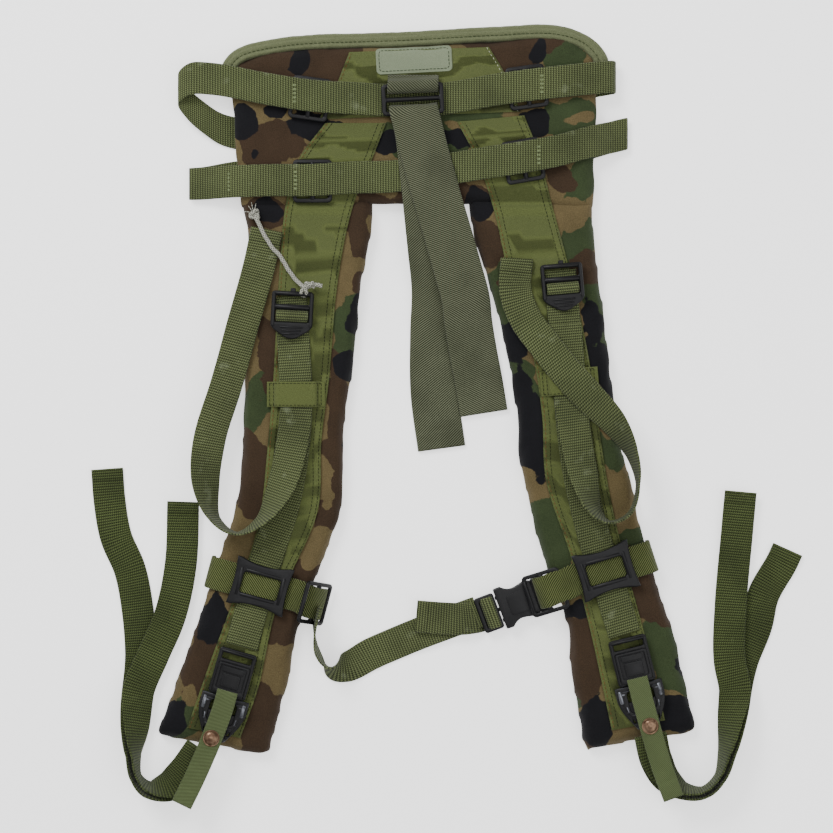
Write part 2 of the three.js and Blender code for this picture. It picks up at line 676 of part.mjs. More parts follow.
function addLowerLeg(name, points, lift) {
  const leg = strip({ points, across: standing(points), lift, stepsPerPoint: 5 });
  add(harness, name, leg, fabric(DARK_GREEN));
}

// The dark lower webbing passes through each release body and lies back beside the pad in two legs.
// Both legs turn round on edge together, the inner one on top, and then part.
function addLowerWebbing() {
  const leftTurn = [
    [-194, -262, 17], [-207, -281, 14, 10], [-220, -294, 12, 40], [-236, -297, 13.8, 80],
    [-247, -287, 13.8, 90],
    [-249.5, -268, 13.8, 80], [-248, -246, 11.8, 45], [-245, -218, 4, 8],
  ];
  addLowerLeg("left_outer_leg", [
    ...leftTurn, [-243, -190, FLOOR_Z], [-246, -152, FLOOR_Z], [-252, -122, FLOOR_Z],
    [-263, -96, FLOOR_Z], [-268, -68, FLOOR_Z], [-270, -42, FLOOR_Z],
  ], 0);
  addLowerLeg("left_inner_leg", [
    ...leftTurn, [-232, -188, FLOOR_Z], [-219, -157, FLOOR_Z], [-211, -118, FLOOR_Z], [-209, -68, FLOOR_Z],
  ], 3 * WEBBING);
  const rightTurn = [
    [160, -251, 17], [164, -270, 15, -10], [172, -287, 12.5, -40], [187, -298, 13.6, -75],
    [204, -299, 13.8, -90],
    [217, -287, 13.8, -90], [223, -266, 13.8, -75], [226.5, -242, 12, -48], [229, -218, 5, -12],
  ];
  addLowerLeg("right_outer_leg", [
    ...rightTurn, [235, -195, FLOOR_Z], [246, -167, FLOOR_Z], [252, -142, FLOOR_Z],
    [266, -117, FLOOR_Z], [271, -106, FLOOR_Z],
  ], 0);
  addLowerLeg("right_inner_leg", [
    ...rightTurn, [224, -192, FLOOR_Z], [225, -150, FLOOR_Z], [230, -93, FLOOR_Z], [233, -60, FLOOR_Z],
  ], 3 * WEBBING);
}

addYoke();
addPads();
addFacings();
addCrossStraps();
addCentreStrap();
addLoadStraps();
addLooseTails();
addPullCord();
addSternumStrap();
addSideRelease();
const LEFT_TAPE = [[0, -32], [0, -48], [-2, -76, 0.5], [-6, -104, 2], [-10, -127, 4]];
const RIGHT_TAPE = [[0, -32], [0, -48], [1, -76, 0.5], [2, -104, 2], [5, -130, 4]];
addQuickRelease("left", -163.5, -185, -16, LEFT_TAPE);
addQuickRelease("right", 141, -174.5, 14, RIGHT_TAPE);
addLowerWebbing();

// The origin is on the floor, at the centre of the whole outline.
const extent = new THREE.Box3().setFromObject(harness, true);
const middle = extent.getCenter(new THREE.Vector3());
harness.position.set(-middle.x, -middle.y, -extent.min.z);

export default harness;
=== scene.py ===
import math
import random

import bpy
import bmesh
import numpy as np
from mathutils import Matrix, Vector, noise
from mathutils.bvhtree import BVHTree


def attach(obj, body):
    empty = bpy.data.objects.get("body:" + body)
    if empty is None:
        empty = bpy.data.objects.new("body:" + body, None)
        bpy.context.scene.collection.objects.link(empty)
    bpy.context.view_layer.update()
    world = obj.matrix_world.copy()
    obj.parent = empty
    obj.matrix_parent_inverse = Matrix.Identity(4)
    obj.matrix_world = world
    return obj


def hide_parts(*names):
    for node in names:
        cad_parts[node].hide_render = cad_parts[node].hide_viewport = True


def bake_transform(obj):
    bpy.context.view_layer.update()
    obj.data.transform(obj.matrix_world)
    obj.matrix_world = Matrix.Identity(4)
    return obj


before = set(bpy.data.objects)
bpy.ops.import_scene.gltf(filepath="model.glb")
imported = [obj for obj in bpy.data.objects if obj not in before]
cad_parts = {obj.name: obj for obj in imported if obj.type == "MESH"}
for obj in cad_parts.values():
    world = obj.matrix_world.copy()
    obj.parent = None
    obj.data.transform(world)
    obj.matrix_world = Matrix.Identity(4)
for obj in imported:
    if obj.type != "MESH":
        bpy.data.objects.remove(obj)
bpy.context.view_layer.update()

random.seed(7)
MM = 0.001
SHIFT = np.array((0.0503, -0.5244, 0.1544))
ROOT = "harness"
WEB = 25.4
THICK = 1.5
PAD_TOP = 14.0
SHEET_Z = 14.3
WEB_Z = 16.35
SECOND_Z = WEB_Z + 1.8
THIRD_Z = SECOND_Z + 1.8
HARD_Z = 17.4
FLOOR_Z = 0.95
scene = bpy.context.scene


# ---- camera, light and floor -------------------------------------------------------------------

def make_stage():
    camera = bpy.data.objects.new("camera", bpy.data.cameras.new("camera"))
    scene.collection.objects.link(camera)
    camera.data.lens = 100
    camera.data.sensor_width = 36
    camera.location = (-0.024, -0.001, 1.828 + 0.012)
    scene.camera = camera
    world = bpy.data.worlds.new("studio")
    scene.world = world
    world.use_nodes = True
    world.node_tree.nodes["Background"].inputs[0].default_value = (1, 1, 1, 1)
    world.node_tree.nodes["Background"].inputs[1].default_value = 0.62
    lamps = (("key", (-1.0, 1.3, 1.5), 0.9, 42), ("fill", (1.2, -0.5, 1.5), 1.5, 12), ("top", (0.1, 0.2, 2.4), 1.6, 16))
    for name, place, size, power in lamps:
        lamp = bpy.data.objects.new(name, bpy.data.lights.new(name, "AREA"))
        lamp.data.size = size
        lamp.data.energy = power
        lamp.location = place
        lamp.rotation_euler = (Vector((0, 0, 0)) - Vector(place)).to_track_quat("-Z", "Y").to_euler()
        scene.collection.objects.link(lamp)
    mesh = bpy.data.meshes.new("floor")
    mesh.from_pydata([(-6, -6, 0), (6, -6, 0), (6, 6, 0), (-6, 6, 0)], [], [(0, 1, 2, 3)])
    floor = bpy.data.objects.new("floor", mesh)
    floor.location.z = -0.0005
    scene.collection.objects.link(floor)
    material = bpy.data.materials.new("floor")
    material.use_nodes = True
    shader = material.node_tree.nodes["Principled BSDF"]
    shader.inputs["Base Color"].default_value = (0.93, 0.93, 0.935, 1)
    shader.inputs["Roughness"].default_value = 0.9
    shader.inputs["Emission Color"].default_value = (1, 1, 1, 1)
    shader.inputs["Emission Strength"].default_value = 1.0
    mesh.materials.append(material)


# ---- materials ---------------------------------------------------------------------------------

def srgb(r, g, b):
    return tuple(((c / 255 + 0.055) / 1.055) ** 2.4 if c > 10 else c / 3295 for c in (r, g, b)) + (1,)


class Nodes:
    """Short hand for building a node material."""

    def __init__(self, name, roughness=0.9, sheen=0.0, specular=0.12):
        self.material = bpy.data.materials.new(name)
        self.material.use_nodes = True
        self.tree = self.material.node_tree
        self.shader = self.tree.nodes["Principled BSDF"]
        self.shader.inputs["Roughness"].default_value = roughness
        self.shader.inputs["Specular IOR Level"].default_value = specular
        if sheen:
            self.shader.inputs["Sheen Weight"].default_value = sheen
            self.shader.inputs["Sheen Roughness"].default_value = 0.5

    def add(self, kind, inputs=(), **settings):
        node = self.tree.nodes.new(kind)
        for key, value in settings.items():
            setattr(node, key, value)
        for key, value in dict(inputs).items():
            if hasattr(value, "is_linked"):
                self.tree.links.new(value, node.inputs[key])
            else:
                node.inputs[key].default_value = value
        return node

    def math(self, operation, a, b=0.0, clamp=False):
        return self.add("ShaderNodeMath", {0: a, 1: b}, operation=operation, use_clamp=clamp).outputs[0]

    def mix(self, factor, a, b):
        node = self.add("ShaderNodeMix", {0: factor, 6: a, 7: b}, data_type="RGBA")
        return node.outputs[2]

    def step(self, value, low, high):
        node = self.add("ShaderNodeMapRange", {0: value, 1: low, 2: high}, interpolation_type="SMOOTHSTEP")
        return node.outputs[0]

    def noise(self, scale, detail=2.0, vector=None):
        if vector is None:
            vector = self.object_space()
        return self.add("ShaderNodeTexNoise", {"Vector": vector, "Scale": scale, "Detail": detail}).outputs[0]

    def object_space(self):
        if not hasattr(self, "_object"):
            self._object = self.add("ShaderNodeTexCoord").outputs["Object"]
        return self._object

    def wave(self, coordinate, pitch, phase=0.0):
        turned = self.math("MULTIPLY_ADD", coordinate, 2 * math.pi / pitch)
        self.tree.nodes[-1].inputs[2].default_value = phase
        return self.math("SINE", turned)

    def finish(self, color, height=None, distance=0.0004, strength=0.8, roughness=None):
        self.tree.links.new(color, self.shader.inputs["Base Color"])
        if roughness is not None:
            self.tree.links.new(roughness, self.shader.inputs["Roughness"])
        if height is not None:
            bump = self.add("ShaderNodeBump", {"Strength": strength, "Distance": distance, "Height": height})
            self.tree.links.new(bump.outputs[0], self.shader.inputs["Normal"])
        return self.material


def webbing_material(name, dark, light, rib=2.1, stroke=1.7, worn_highlight=(150, 160, 130)):
    """Narrow webbing: ribs across its width, each broken into slanted strokes of thread."""
    n = Nodes(name, roughness=0.86, sheen=0.08)
    uv = n.add("ShaderNodeSeparateXYZ", {0: n.add("ShaderNodeUVMap", uv_map="UVMap").outputs[0]})
    along, across = uv.outputs[0], uv.outputs[1]
    ribs = n.wave(along, rib * MM)
    row = n.math("FLOOR", n.math("DIVIDE", along, rib * MM))
    offset = n.math("MULTIPLY", n.math("MODULO", row, 2.0), 0.5 * stroke * MM)
    slant = n.math("ADD", across, n.math("MULTIPLY", along, 0.6))
    strokes = n.wave(n.math("ADD", slant, offset), stroke * MM)
    weave = n.math("ADD", n.math("MULTIPLY", ribs, 0.5), n.math("MULTIPLY", strokes, 0.5))
    height = n.math("MULTIPLY_ADD", weave, 0.5)
    n.tree.nodes[-1].inputs[2].default_value = 0.5
    fibre = n.noise(2600, 2)
    # The colour follows the weave's height: painted shade in the grooves and painted highlight on the raised ribs and
    # strokes, with fibre noise for the yarn's own tone.
    color = n.mix(n.step(n.math("ADD", height, n.math("MULTIPLY", fibre, 0.45)), 0.3, 1.35), srgb(*dark), srgb(*light))
    patches = n.step(n.noise(22, 3), 0.35, 0.75)
    color = n.mix(n.math("MULTIPLY", patches, 0.35), color, srgb(*[c * 0.8 for c in dark]))
    # Pale patches scattered by noise: partly wear on the webbing, partly painted highlight.
    wear_highlight_mask = n.step(n.noise(60, 4), 0.62, 0.8)
    color = n.mix(n.math("MULTIPLY", wear_highlight_mask, 0.25), color, srgb(*worn_highlight))
    return n.finish(color, n.math("ADD", height, n.math("MULTIPLY", fibre, 0.2)), 0.00045, 0.9)


def twill_material(name, dark, light, pitch=1.5, slope=0.75):
    """Wide strap or tape of twill: fine diagonal ridges."""
    n = Nodes(name, roughness=0.85, sheen=0.08)
    uv = n.add("ShaderNodeSeparateXYZ", {0: n.add("ShaderNodeUVMap", uv_map="UVMap").outputs[0]})
    along, across = uv.outputs[0], uv.outputs[1]
    diagonal = n.math("ADD", n.math("MULTIPLY", across, slope), along)
    ridge = n.wave(diagonal, pitch * MM)
    cross = n.wave(n.math("SUBTRACT", across, n.math("MULTIPLY", along, 0.4)), 0.9 * MM)
    height = n.math("MULTIPLY_ADD", n.math("ADD", n.math("MULTIPLY", ridge, 0.75), n.math("MULTIPLY", cross, 0.25)), 0.5)
    n.tree.nodes[-1].inputs[2].default_value = 0.5
    fibre = n.noise(2200, 2)
    color = n.mix(n.step(n.math("ADD", height, n.math("MULTIPLY", fibre, 0.3)), 0.35, 1.1), srgb(*dark), srgb(*light))
    color = n.mix(n.math("MULTIPLY", n.step(n.noise(25, 3), 0.4, 0.7), 0.3), color, srgb(*[c * 0.85 for c in dark]))
    return n.finish(color, height, 0.00035, 0.8)


def cloth_material(name, dark, light, pitch=0.9):
    """Plain pack cloth with a fine visible weave, faded in patches."""
    n = Nodes(name, roughness=0.88, sheen=0.05)
    place = n.add("ShaderNodeSeparateXYZ", {0: n.object_space()})
    x, y = place.outputs[0], place.outputs[1]
    first = n.wave(n.math("ADD", x, n.math("MULTIPLY", y, 0.35)), pitch * MM)
    second = n.wave(n.math("SUBTRACT", y, n.math("MULTIPLY", x, 0.35)), pitch * MM)
    height = n.math("MULTIPLY_ADD", n.math("MULTIPLY", first, second), 0.5)
    n.tree.nodes[-1].inputs[2].default_value = 0.5
    fibre = n.noise(1500, 3)
    tone = n.math("ADD", n.math("MULTIPLY", height, 0.5), n.math("MULTIPLY", fibre, 0.6))
    color = n.mix(n.step(tone, 0.2, 0.85), srgb(*dark), srgb(*light))
    color = n.mix(n.math("MULTIPLY", n.step(n.noise(26, 5), 0.1, 0.95), 0.12), color, srgb(*[c * 0.85 for c in dark]))
    return n.finish(color, n.math("ADD", height, fibre), 0.0002, 0.6)


def camouflage_material():
    """Four printed colours: each vertex field is a distance inside its shape, cut sharply in the shader."""
    n = Nodes("camouflage_cloth", roughness=0.9, sheen=0.05)
    ragged = n.math("MULTIPLY", n.math("SUBTRACT", n.noise(300, 2), 0.5), 2.4)
    color = srgb(86, 75, 50)
    for field, tint in (("green", (47, 57, 35)), ("brown", (52, 40, 29)), ("black", (18, 18, 21))):
        value = n.add("ShaderNodeAttribute", attribute_name=field).outputs["Fac"]
        inside = n.step(n.math("ADD", value, ragged), -0.35, 0.35)
        color = n.mix(inside, color, srgb(*tint))
    place = n.add("ShaderNodeSeparateXYZ", {0: n.object_space()})
    x, y = place.outputs[0], place.outputs[1]
    first = n.wave(n.math("ADD", x, n.math("MULTIPLY", y, 0.5)), 0.8 * MM)
    second = n.wave(n.math("SUBTRACT", y, n.math("MULTIPLY", x, 0.2)), 0.9 * MM)
    weave = n.math("MULTIPLY", first, second)
    fibre = n.noise(1400, 3)
    light = n.math("ADD", n.math("MULTIPLY", weave, 0.16), n.math("MULTIPLY", n.math("SUBTRACT", fibre, 0.5), 1.3))
    light = n.math("ADD", light, n.math("MULTIPLY", n.math("SUBTRACT", n.noise(45, 3), 0.5), 0.6))
    value = n.math("ADD", light, 1.0)
    graded = n.add("ShaderNodeHueSaturation", {"Color": color, "Value": value}).outputs[0]
    return n.finish(graded, n.math("ADD", n.math("MULTIPLY", weave, 0.4), fibre), 0.0002, 0.6)


def plastic_material():
    """Moulded black nylon: fine grain, soft gloss, pale scuffs on raised edges."""
    n = Nodes("black_plastic", roughness=0.42, specular=0.22)
    grain = n.noise(900, 3)
    edge = n.step(n.add("ShaderNodeNewGeometry").outputs["Pointiness"], 0.53, 0.62)
    scuff = n.math("MULTIPLY", edge, n.step(n.noise(140, 4), 0.35, 0.7))
    color = n.mix(n.math("MULTIPLY", scuff, 0.5), srgb(12, 12, 14), srgb(80, 82, 90))
    dusty = n.step(n.noise(70, 5), 0.5, 0.8)
    color = n.mix(n.math("MULTIPLY", dusty, 0.18), color, srgb(48, 48, 52))
    roughness = n.math("MULTIPLY_ADD", grain, 0.25)
    n.tree.nodes[-1].inputs[2].default_value = 0.3
    return n.finish(color, grain, 0.00008, 0.5, roughness)


def metal_material(name, tint, rust):
    n = Nodes(name, roughness=0.35, specular=0.5)
    n.shader.inputs["Metallic"].default_value = 0.9
    spots = n.step(n.noise(260, 3), 0.4, 0.75)
    color = n.mix(spots, srgb(*tint), srgb(*rust))
    roughness = n.math("MULTIPLY_ADD", spots, 0.35)
    n.tree.nodes[-1].inputs[2].default_value = 0.28
    return n.finish(color, n.noise(700, 3), 0.00012, 0.5, roughness)


def thread_material(name, tint):
    n = Nodes(name, roughness=0.8)
    color = n.mix(n.noise(1800, 2), srgb(*[c * 0.7 for c in tint]), srgb(*tint))
    return n.finish(color, n.noise(3000, 2), 0.0001, 0.5)


def braid_material():
    """Grey braided cord: crossing strands wound round it."""
    n = Nodes("cord_braid", roughness=0.75, sheen=0.08)
    uv = n.add("ShaderNodeSeparateXYZ", {0: n.add("ShaderNodeUVMap", uv_map="UVMap").outputs[0]})
    one = n.wave(n.math("ADD", uv.outputs[0], uv.outputs[1]), 2.4 * MM)
    two = n.wave(n.math("SUBTRACT", uv.outputs[0], uv.outputs[1]), 2.4 * MM)
    height = n.math("MAXIMUM", one, two)
    color = n.mix(n.step(height, -0.2, 1.0), srgb(92, 92, 84), srgb(172, 172, 160))
    return n.finish(color, height, 0.0004, 0.8)


# ---- curves and ribbons ------------------------------------------------------------------------

def smooth(points, per):
    """Points on a centripetal Catmull-Rom curve, per of them between neighbours, as the CAD route takes."""
    p = np.asarray(points, float)
    full = np.vstack([2 * p[0] - p[1], p, 2 * p[-1] - p[-2]])
    out = []
    for i in range(len(p) - 1):
        a, b, c, d = full[i:i + 4]
        gaps = [max(np.linalg.norm(v - u) ** 0.5, 1e-4) for u, v in ((a, b), (b, c), (c, d))]
        t1 = ((b - a) / gaps[0] - (c - a) / (gaps[0] + gaps[1]) + (c - b) / gaps[1]) * gaps[1]
        t2 = ((c - b) / gaps[1] - (d - b) / (gaps[1] + gaps[2]) + (d - c) / gaps[2]) * gaps[1]
        for k in range(per):
            t = k / per
            out.append(b + t1 * t + (-3 * b + 3 * c - 2 * t1 - t2) * t ** 2 + (2 * b - 2 * c + t1 + t2) * t ** 3)
    out.append(p[-1])
    return np.array(out)


def unit(v):
    return v / np.maximum(np.linalg.norm(v, axis=-1, keepdims=True), 1e-9)


def standing(points):
    """Across directions of a strip whose points end with the angle it stands up from level, in degrees."""
    flat = np.array([q[:3] for q in points], float)
    heading = unit(np.gradient(smooth(flat, 8), axis=0))[::8]
    angle = np.radians([q[3] if len(q) > 3 else 0 for q in points])
    return np.stack([-heading[:, 1] * np.cos(angle), heading[:, 0] * np.cos(angle), np.sin(angle)], 1)


def ribbon_frames(points, across, per=12, lift=0.0, shear=False):
    """Centre, side and up directions along a strip, and the distance along it, all in millimetres."""
    centre = smooth([q[:3] for q in points], per)
    count = len(centre)
    across = np.asarray(across, float)
    if len(across) == 1:
        across = np.repeat(across, len(points), 0)
    keys = np.arange(len(points)) * per
    side = np.stack([np.interp(np.arange(count), keys, across[:, k]) for k in range(3)], 1)
    along = unit(np.gradient(centre, axis=0))
    side = unit(side if shear else side - along * np.sum(side * along, 1, keepdims=True))
    up = unit(np.cross(along, side))
    centre = centre + up * lift
    distance = np.concatenate([[0], np.cumsum(np.linalg.norm(np.diff(centre, axis=0), axis=1))])
    return centre, side, up, distance


def mesh_object(name, points, faces, material, uv=None, smooth_shade=True):
    mesh = bpy.data.meshes.new(name)
    mesh.from_pydata([tuple(q) for q in points], [], faces)
    if uv is not None:
        layer = mesh.uv_layers.new(name="UVMap")
        flat = np.array([uv[loop.vertex_index] for loop in mesh.loops], np.float32)
        layer.data.foreach_set("uv", flat.ravel())
    mesh.materials.append(material)
    if smooth_shade:
        mesh.polygons.foreach_set("use_smooth", [True] * len(mesh.polygons))
    obj = bpy.data.objects.new(name, mesh)
    scene.collection.objects.link(obj)
    return obj


def loft(name, rings, material, uv=None, closed=True):
    """A closed skin through rings of points of equal count, capped at both ends."""
    rings = np.asarray(rings)
    count, size = rings.shape[:2]
    faces = []
    for i in range(count - 1):
        for j in range(size):
            k = (j + 1) % size
            faces.append((i * size + j, (i + 1) * size + j, (i + 1) * size + k, i * size + k))
    faces.append(tuple(range(size)))
    faces.append(tuple(reversed(range((count - 1) * size, count * size))))
    flat_uv = None if uv is None else np.asarray(uv).reshape(-1, 2)
    obj = mesh_object(name, rings.reshape(-1, 3), faces, material, flat_uv)
    bm = bmesh.new()
    bm.from_mesh(obj.data)
    bmesh.ops.recalc_face_normals(bm, faces=bm.faces)
    bm.to_mesh(obj.data)
    bm.free()
    return obj


def ribbon(name, points, across, material, width=WEB, thick=THICK, per=12, lift=0.0, wobble=0.25, seed=0,
           rib=2.1, relief=0.1, hems=(0, 0), step=None, shear=False):
    """A strip of webbing with rounded selvedges and ribs across it, a little uneven along its length."""
    centre, side, up, distance = ribbon_frames(points, across, per, lift, shear)
    total = distance[-1]
    stops = np.linspace(0, total, max(4, int(round(total / (step or rib / 3))) + 1))
    centre, side, up = (np.stack([np.interp(stops, distance, v[:, k]) for k in range(3)], 1) for v in (centre, side, up))
    half = width / 2
    places = [1.0, 0.97, 0.9, 0.6, 0.2, -0.2, -0.6, -0.9, -0.97, -1.0]
    depths = [0.0, 0.72, 1.0, 0.94, 1.0, 0.96, 1.0, 1.0, 0.72, 0.0]
    upper = list(zip(places, depths))
    section = [(x * half, z, 1) for x, z in upper] + [(x * half, z, -1) for x, z in upper[-2:0:-1]]
    rings, uv = [], []
    for i, d in enumerate(stops):
        sway = noise.noise(Vector((d / 38, seed * 7.3, 1.7))) * wobble
        curl = noise.noise(Vector((d / 55, seed * 3.1, 9.2))) * wobble * 1.6
        ridge = relief * math.cos(2 * math.pi * d / rib)
        fold = 1.0 if d < hems[0] or d > total - hems[1] else 0.0
        end = min(d, total - d)
        blunt = 1.0 if end > 0.8 else 0.55
        ring, row = [], []
        for x, share, face in section:
            z = share * (thick / 2 * blunt + (ridge if share > 0.9 else 0)) * face
            z += fold * thick * 0.8 * share if face > 0 else 0
            ring.append((centre[i] + side[i] * (x + sway * 0.8) + up[i] * (z + abs(x / half) ** 3 * curl) + SHIFT) * MM)
            row.append((d * MM, x * MM))
        rings.append(ring)
        uv.append(row)
    obj = loft(name, rings, material, uv)
    obj["length_mm"] = float(total)
    return obj


def piece(obj, body, *nodes, slot=None):
    """Puts a finished piece on its body, over the CAD nodes that it stands for."""
    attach(obj, body)
    if nodes:
        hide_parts(*nodes)
    return obj


def laid(obj):
    return obj


# ---- threads, seams and moulded parts ----------------------------------------------------------

def merge(name, parts, material, smooth_shade=True):
    """One mesh from (points, faces) parts, in metres."""
    points, faces, base = [], [], 0
    for p, f in parts:
        points.append(np.asarray(p))
        faces.extend(tuple(i + base for i in face) for face in f)
        base += len(p)
    return mesh_object(name, np.vstack(points), faces, material, None, smooth_shade)


def stitch(start, end, normal, radius):
    """A single stitch: a short fat thread, sunk a little at both ends. Points are in millimetres."""
    axis = end - start
    along = unit(axis)
    side = unit(np.cross(normal, along))
    up = np.cross(along, side)
    rings = []
    for t, r, sink in ((0.0, 0.45, -0.35), (0.22, 1.0, 0.1), (0.78, 1.0, 0.1), (1.0, 0.45, -0.35)):
        middle = start + axis * t + up * radius * sink
        for k in range(5):
            turn = 2 * math.pi * k / 5
            rings.append(middle + (side * math.cos(turn) + up * math.sin(turn)) * radius * r)
    faces = [(i * 5 + k, i * 5 + (k + 1) % 5, i * 5 + 5 + (k + 1) % 5, i * 5 + 5 + k) for i in range(3) for k in range(5)]
    faces += [tuple(range(4, -1, -1)), tuple(range(15, 20))]
    return (np.array(rings) + SHIFT) * MM, faces


def seam(path, normals, radius=0.3, length=2.7, gap=0.9, jitter=0.15):
    """Stitches along a path of close points on a surface with the given normals, all in millimetres."""
    path, normals = np.asarray(path, float), np.asarray(normals, float)
    if len(normals) == 1:
        normals = np.repeat(normals, len(path), 0)
    distance = np.concatenate([[0], np.cumsum(np.linalg.norm(np.diff(path, axis=0), axis=1))])

    def where(d):
        return np.array([np.interp(d, distance, path[:, k]) for k in range(3)])

    out, d = [], 0.4
    while d + length < distance[-1]:
        n = np.array([np.interp(d, distance, normals[:, k]) for k in range(3)])
        swing = np.array([random.uniform(-jitter, jitter), random.uniform(-jitter, jitter), 0])
        out.append(stitch(where(d) + swing, where(d + length) + swing * 0.4, unit(n), radius))
        d += length + gap
    return out


class Surface:
    """A mesh to lay things on, looked at from above. Heights are in millimetres of the drawing."""

    def __init__(self, *objects):
        points, faces, base = [], [], 0
        for obj in objects:
            points += [obj.matrix_world @ v.co for v in obj.data.vertices]
            faces += [tuple(i + base for i in p.vertices) for p in obj.data.polygons]
            base = len(points)
        self.tree = BVHTree.FromPolygons(points, faces)

    def height(self, x, y, default=SHEET_Z - 0.3):
        here = (np.array((x, y, 0)) + SHIFT) * MM
        hit = self.tree.ray_cast(Vector((here[0], here[1], 0.2)), Vector((0, 0, -1)))[0]
        return default if hit is None else hit.z / MM - SHIFT[2]

    def lay(self, points, lift=0.0, step=1.0):
        """The flat route through points, dropped on the surface, with level normals."""
        flat = resample(np.array([(q[0], q[1], 0.0) for q in points]), step)
        heights = np.array([self.height(q[0], q[1]) for q in flat])
        flat[:, 2] = blur(heights, 2) + lift
        return flat


def resample(path, step):
    path = np.asarray(path, float)
    distance = np.concatenate([[0], np.cumsum(np.linalg.norm(np.diff(path, axis=0), axis=1))])
    stops = np.linspace(0, distance[-1], max(2, int(round(distance[-1] / step)) + 1))
    return np.stack([np.interp(stops, distance, path[:, k]) for k in range(path.shape[1])], 1)


def blur(values, reach):
    values = np.asarray(values, float)
    padded = np.pad(values, reach, mode="edge")
    return np.convolve(padded, np.ones(2 * reach + 1) / (2 * reach + 1), "valid")


UP = np.array([[0.0, 0.0, 1.0]])


def thread_on(name, body, material, paths, radius=0.3, length=2.7, gap=0.9, normals=UP):
    """Stitch lines merged to one piece on a body."""
    parts = []
    for path in paths:
        parts += seam(path, normals, radius, length, gap)
    obj = merge(name, parts, material)
    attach(obj, body)
    return obj


def ribbon_line(points, across, x, start, end, per=12, lift=0.0, thick=THICK, face=1):
    """A path lengthways on a ribbon's face at offset x, between two distances along it, with its normals."""
    centre, side, up, distance = ribbon_frames(points, across, per, lift)
    keep = (distance >= start) & (distance <= end)
    return (centre + side * x + up * face * (thick / 2 + 0.08))[keep], (up * face)[keep]


def ribbon_cross(points, across, d, width=WEB, per=12, lift=0.0, thick=THICK, face=1, inset=1.5):
    """A path across a ribbon's face at distance d along it, with its normals."""
    centre, side, up, distance = ribbon_frames(points, across, per, lift)
    c, s, u = (np.array([np.interp(d, distance, v[:, k]) for k in range(3)]) for v in (centre, side, up))
    reach = width / 2 - inset
    path = [c + s * x + u * face * (thick / 2 + 0.08) for x in np.linspace(-reach, reach, 24)]
    return np.array(path), np.array([u * face] * 24)


def seams_piece(name, body, material, lines, radius=0.3, length=2.7, gap=0.9):
    parts = []
    for path, normals in lines:
        if len(path) > 1:
            parts += seam(path, normals, radius, length, gap)
    obj = merge(name, parts, material)
    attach(obj, body)
    return obj


def arc(cx, cy, r, start, end, steps=6):
    turns = np.radians(np.linspace(start, end, steps + 1))
    return [(cx + r * math.cos(a), cy + r * math.sin(a)) for a in turns]


def rounded(width, height, radius, x=0.0, y=0.0):
    """Corner points of a rounded rectangle round (x, y)."""
    a, b = width / 2 - radius, height / 2 - radius
    return (arc(x + a, y + b, radius, 0, 90) + arc(x - a, y + b, radius, 90, 180)
            + arc(x - a, y - b, radius, 180, 270) + arc(x + a, y - b, radius, 270, 360))


def quadratic(a, b, c, steps=10):
    t = np.linspace(0, 1, steps + 1)[1:, None]
    a, b, c = (np.array(v, float) for v in (a, b, c))
    return [tuple(p) for p in (1 - t) ** 2 * a + 2 * t * (1 - t) * b + t ** 2 * c]


def moulding(outline, windows=(), bottom=0.0, depth=3.0, bevel=0.6):
    """A moulded plate of one outline with windows through it and rounded edges: (points, faces), millimetres."""
    data = bpy.data.curves.new("outline", "CURVE")
    data.dimensions = "2D"
    data.fill_mode = "BOTH"
    data.extrude = max(depth / 2 - bevel, 0.01)
    data.bevel_depth = bevel
    data.bevel_resolution = 2
    data.offset = -bevel
    for loop in (outline, *windows):
        clean = [p for i, p in enumerate(loop) if math.dist(p, loop[i - 1]) > 0.02]
        spline = data.splines.new("POLY")
        spline.points.add(len(clean) - 1)
        for point, (x, y) in zip(spline.points, clean):
            point.co = (x, y, 0, 1)
        spline.use_cyclic_u = True
    holder = bpy.data.objects.new("outline", data)
    scene.collection.objects.link(holder)
    bpy.context.view_layer.update()
    mesh = bpy.data.meshes.new_from_object(holder)
    bm = bmesh.new()
    bm.from_mesh(mesh)
    bmesh.ops.remove_doubles(bm, verts=bm.verts, dist=0.001)
    bmesh.ops.recalc_face_normals(bm, faces=bm.faces)
    bm.to_mesh(mesh)
    bm.free()
    points = np.array([v.co[:] for v in mesh.vertices])
    faces = [tuple(p.vertices) for p in mesh.polygons]
    bpy.data.objects.remove(holder)
    bpy.data.meshes.remove(mesh)
    points[:, 2] += bottom + depth / 2
    return points, faces


def rod(start, end, radius, squeeze=1.0, sides=14):
    """A rounded bar between two points: (points, faces), millimetres. squeeze flattens it in z."""
    start, end = np.array(start, float), np.array(end, float)
    along = unit(end - start)
    side = unit(np.cross(along, (0, 0, 1.0) if abs(along[2]) < 0.9 else (1.0, 0, 0)))
    up = np.cross(side, along)
    rings = []
    for middle, share in ((start, 0.7), (start + along * radius * 0.3, 1), (end - along * radius * 0.3, 1), (end, 0.7)):
        for k in range(sides):
            turn = 2 * math.pi * k / sides
            rings.append(middle + (side * math.cos(turn) + up * math.sin(turn) * squeeze) * radius * share)
    faces = [(i * sides + k, i * sides + (k + 1) % sides, i * sides + sides + (k + 1) % sides, i * sides + sides + k)
             for i in range(3) for k in range(sides)]
    faces += [tuple(range(sides - 1, -1, -1)), tuple(range(3 * sides, 4 * sides))]
    return np.array(rings), faces


def turned(part, x=0.0, y=0.0, z=0.0, degrees=0.0, tilt=0.0):
    """Places a (points, faces) part: tilted about its own Y, then turned about Z, then moved. Millimetres."""
    points, faces = part
    matrix = Matrix.Rotation(math.radians(degrees), 3, "Z") @ Matrix.Rotation(math.radians(tilt), 3, "Y")
    return np.asarray(points) @ np.array(matrix).T + np.array((x, y, z)), faces


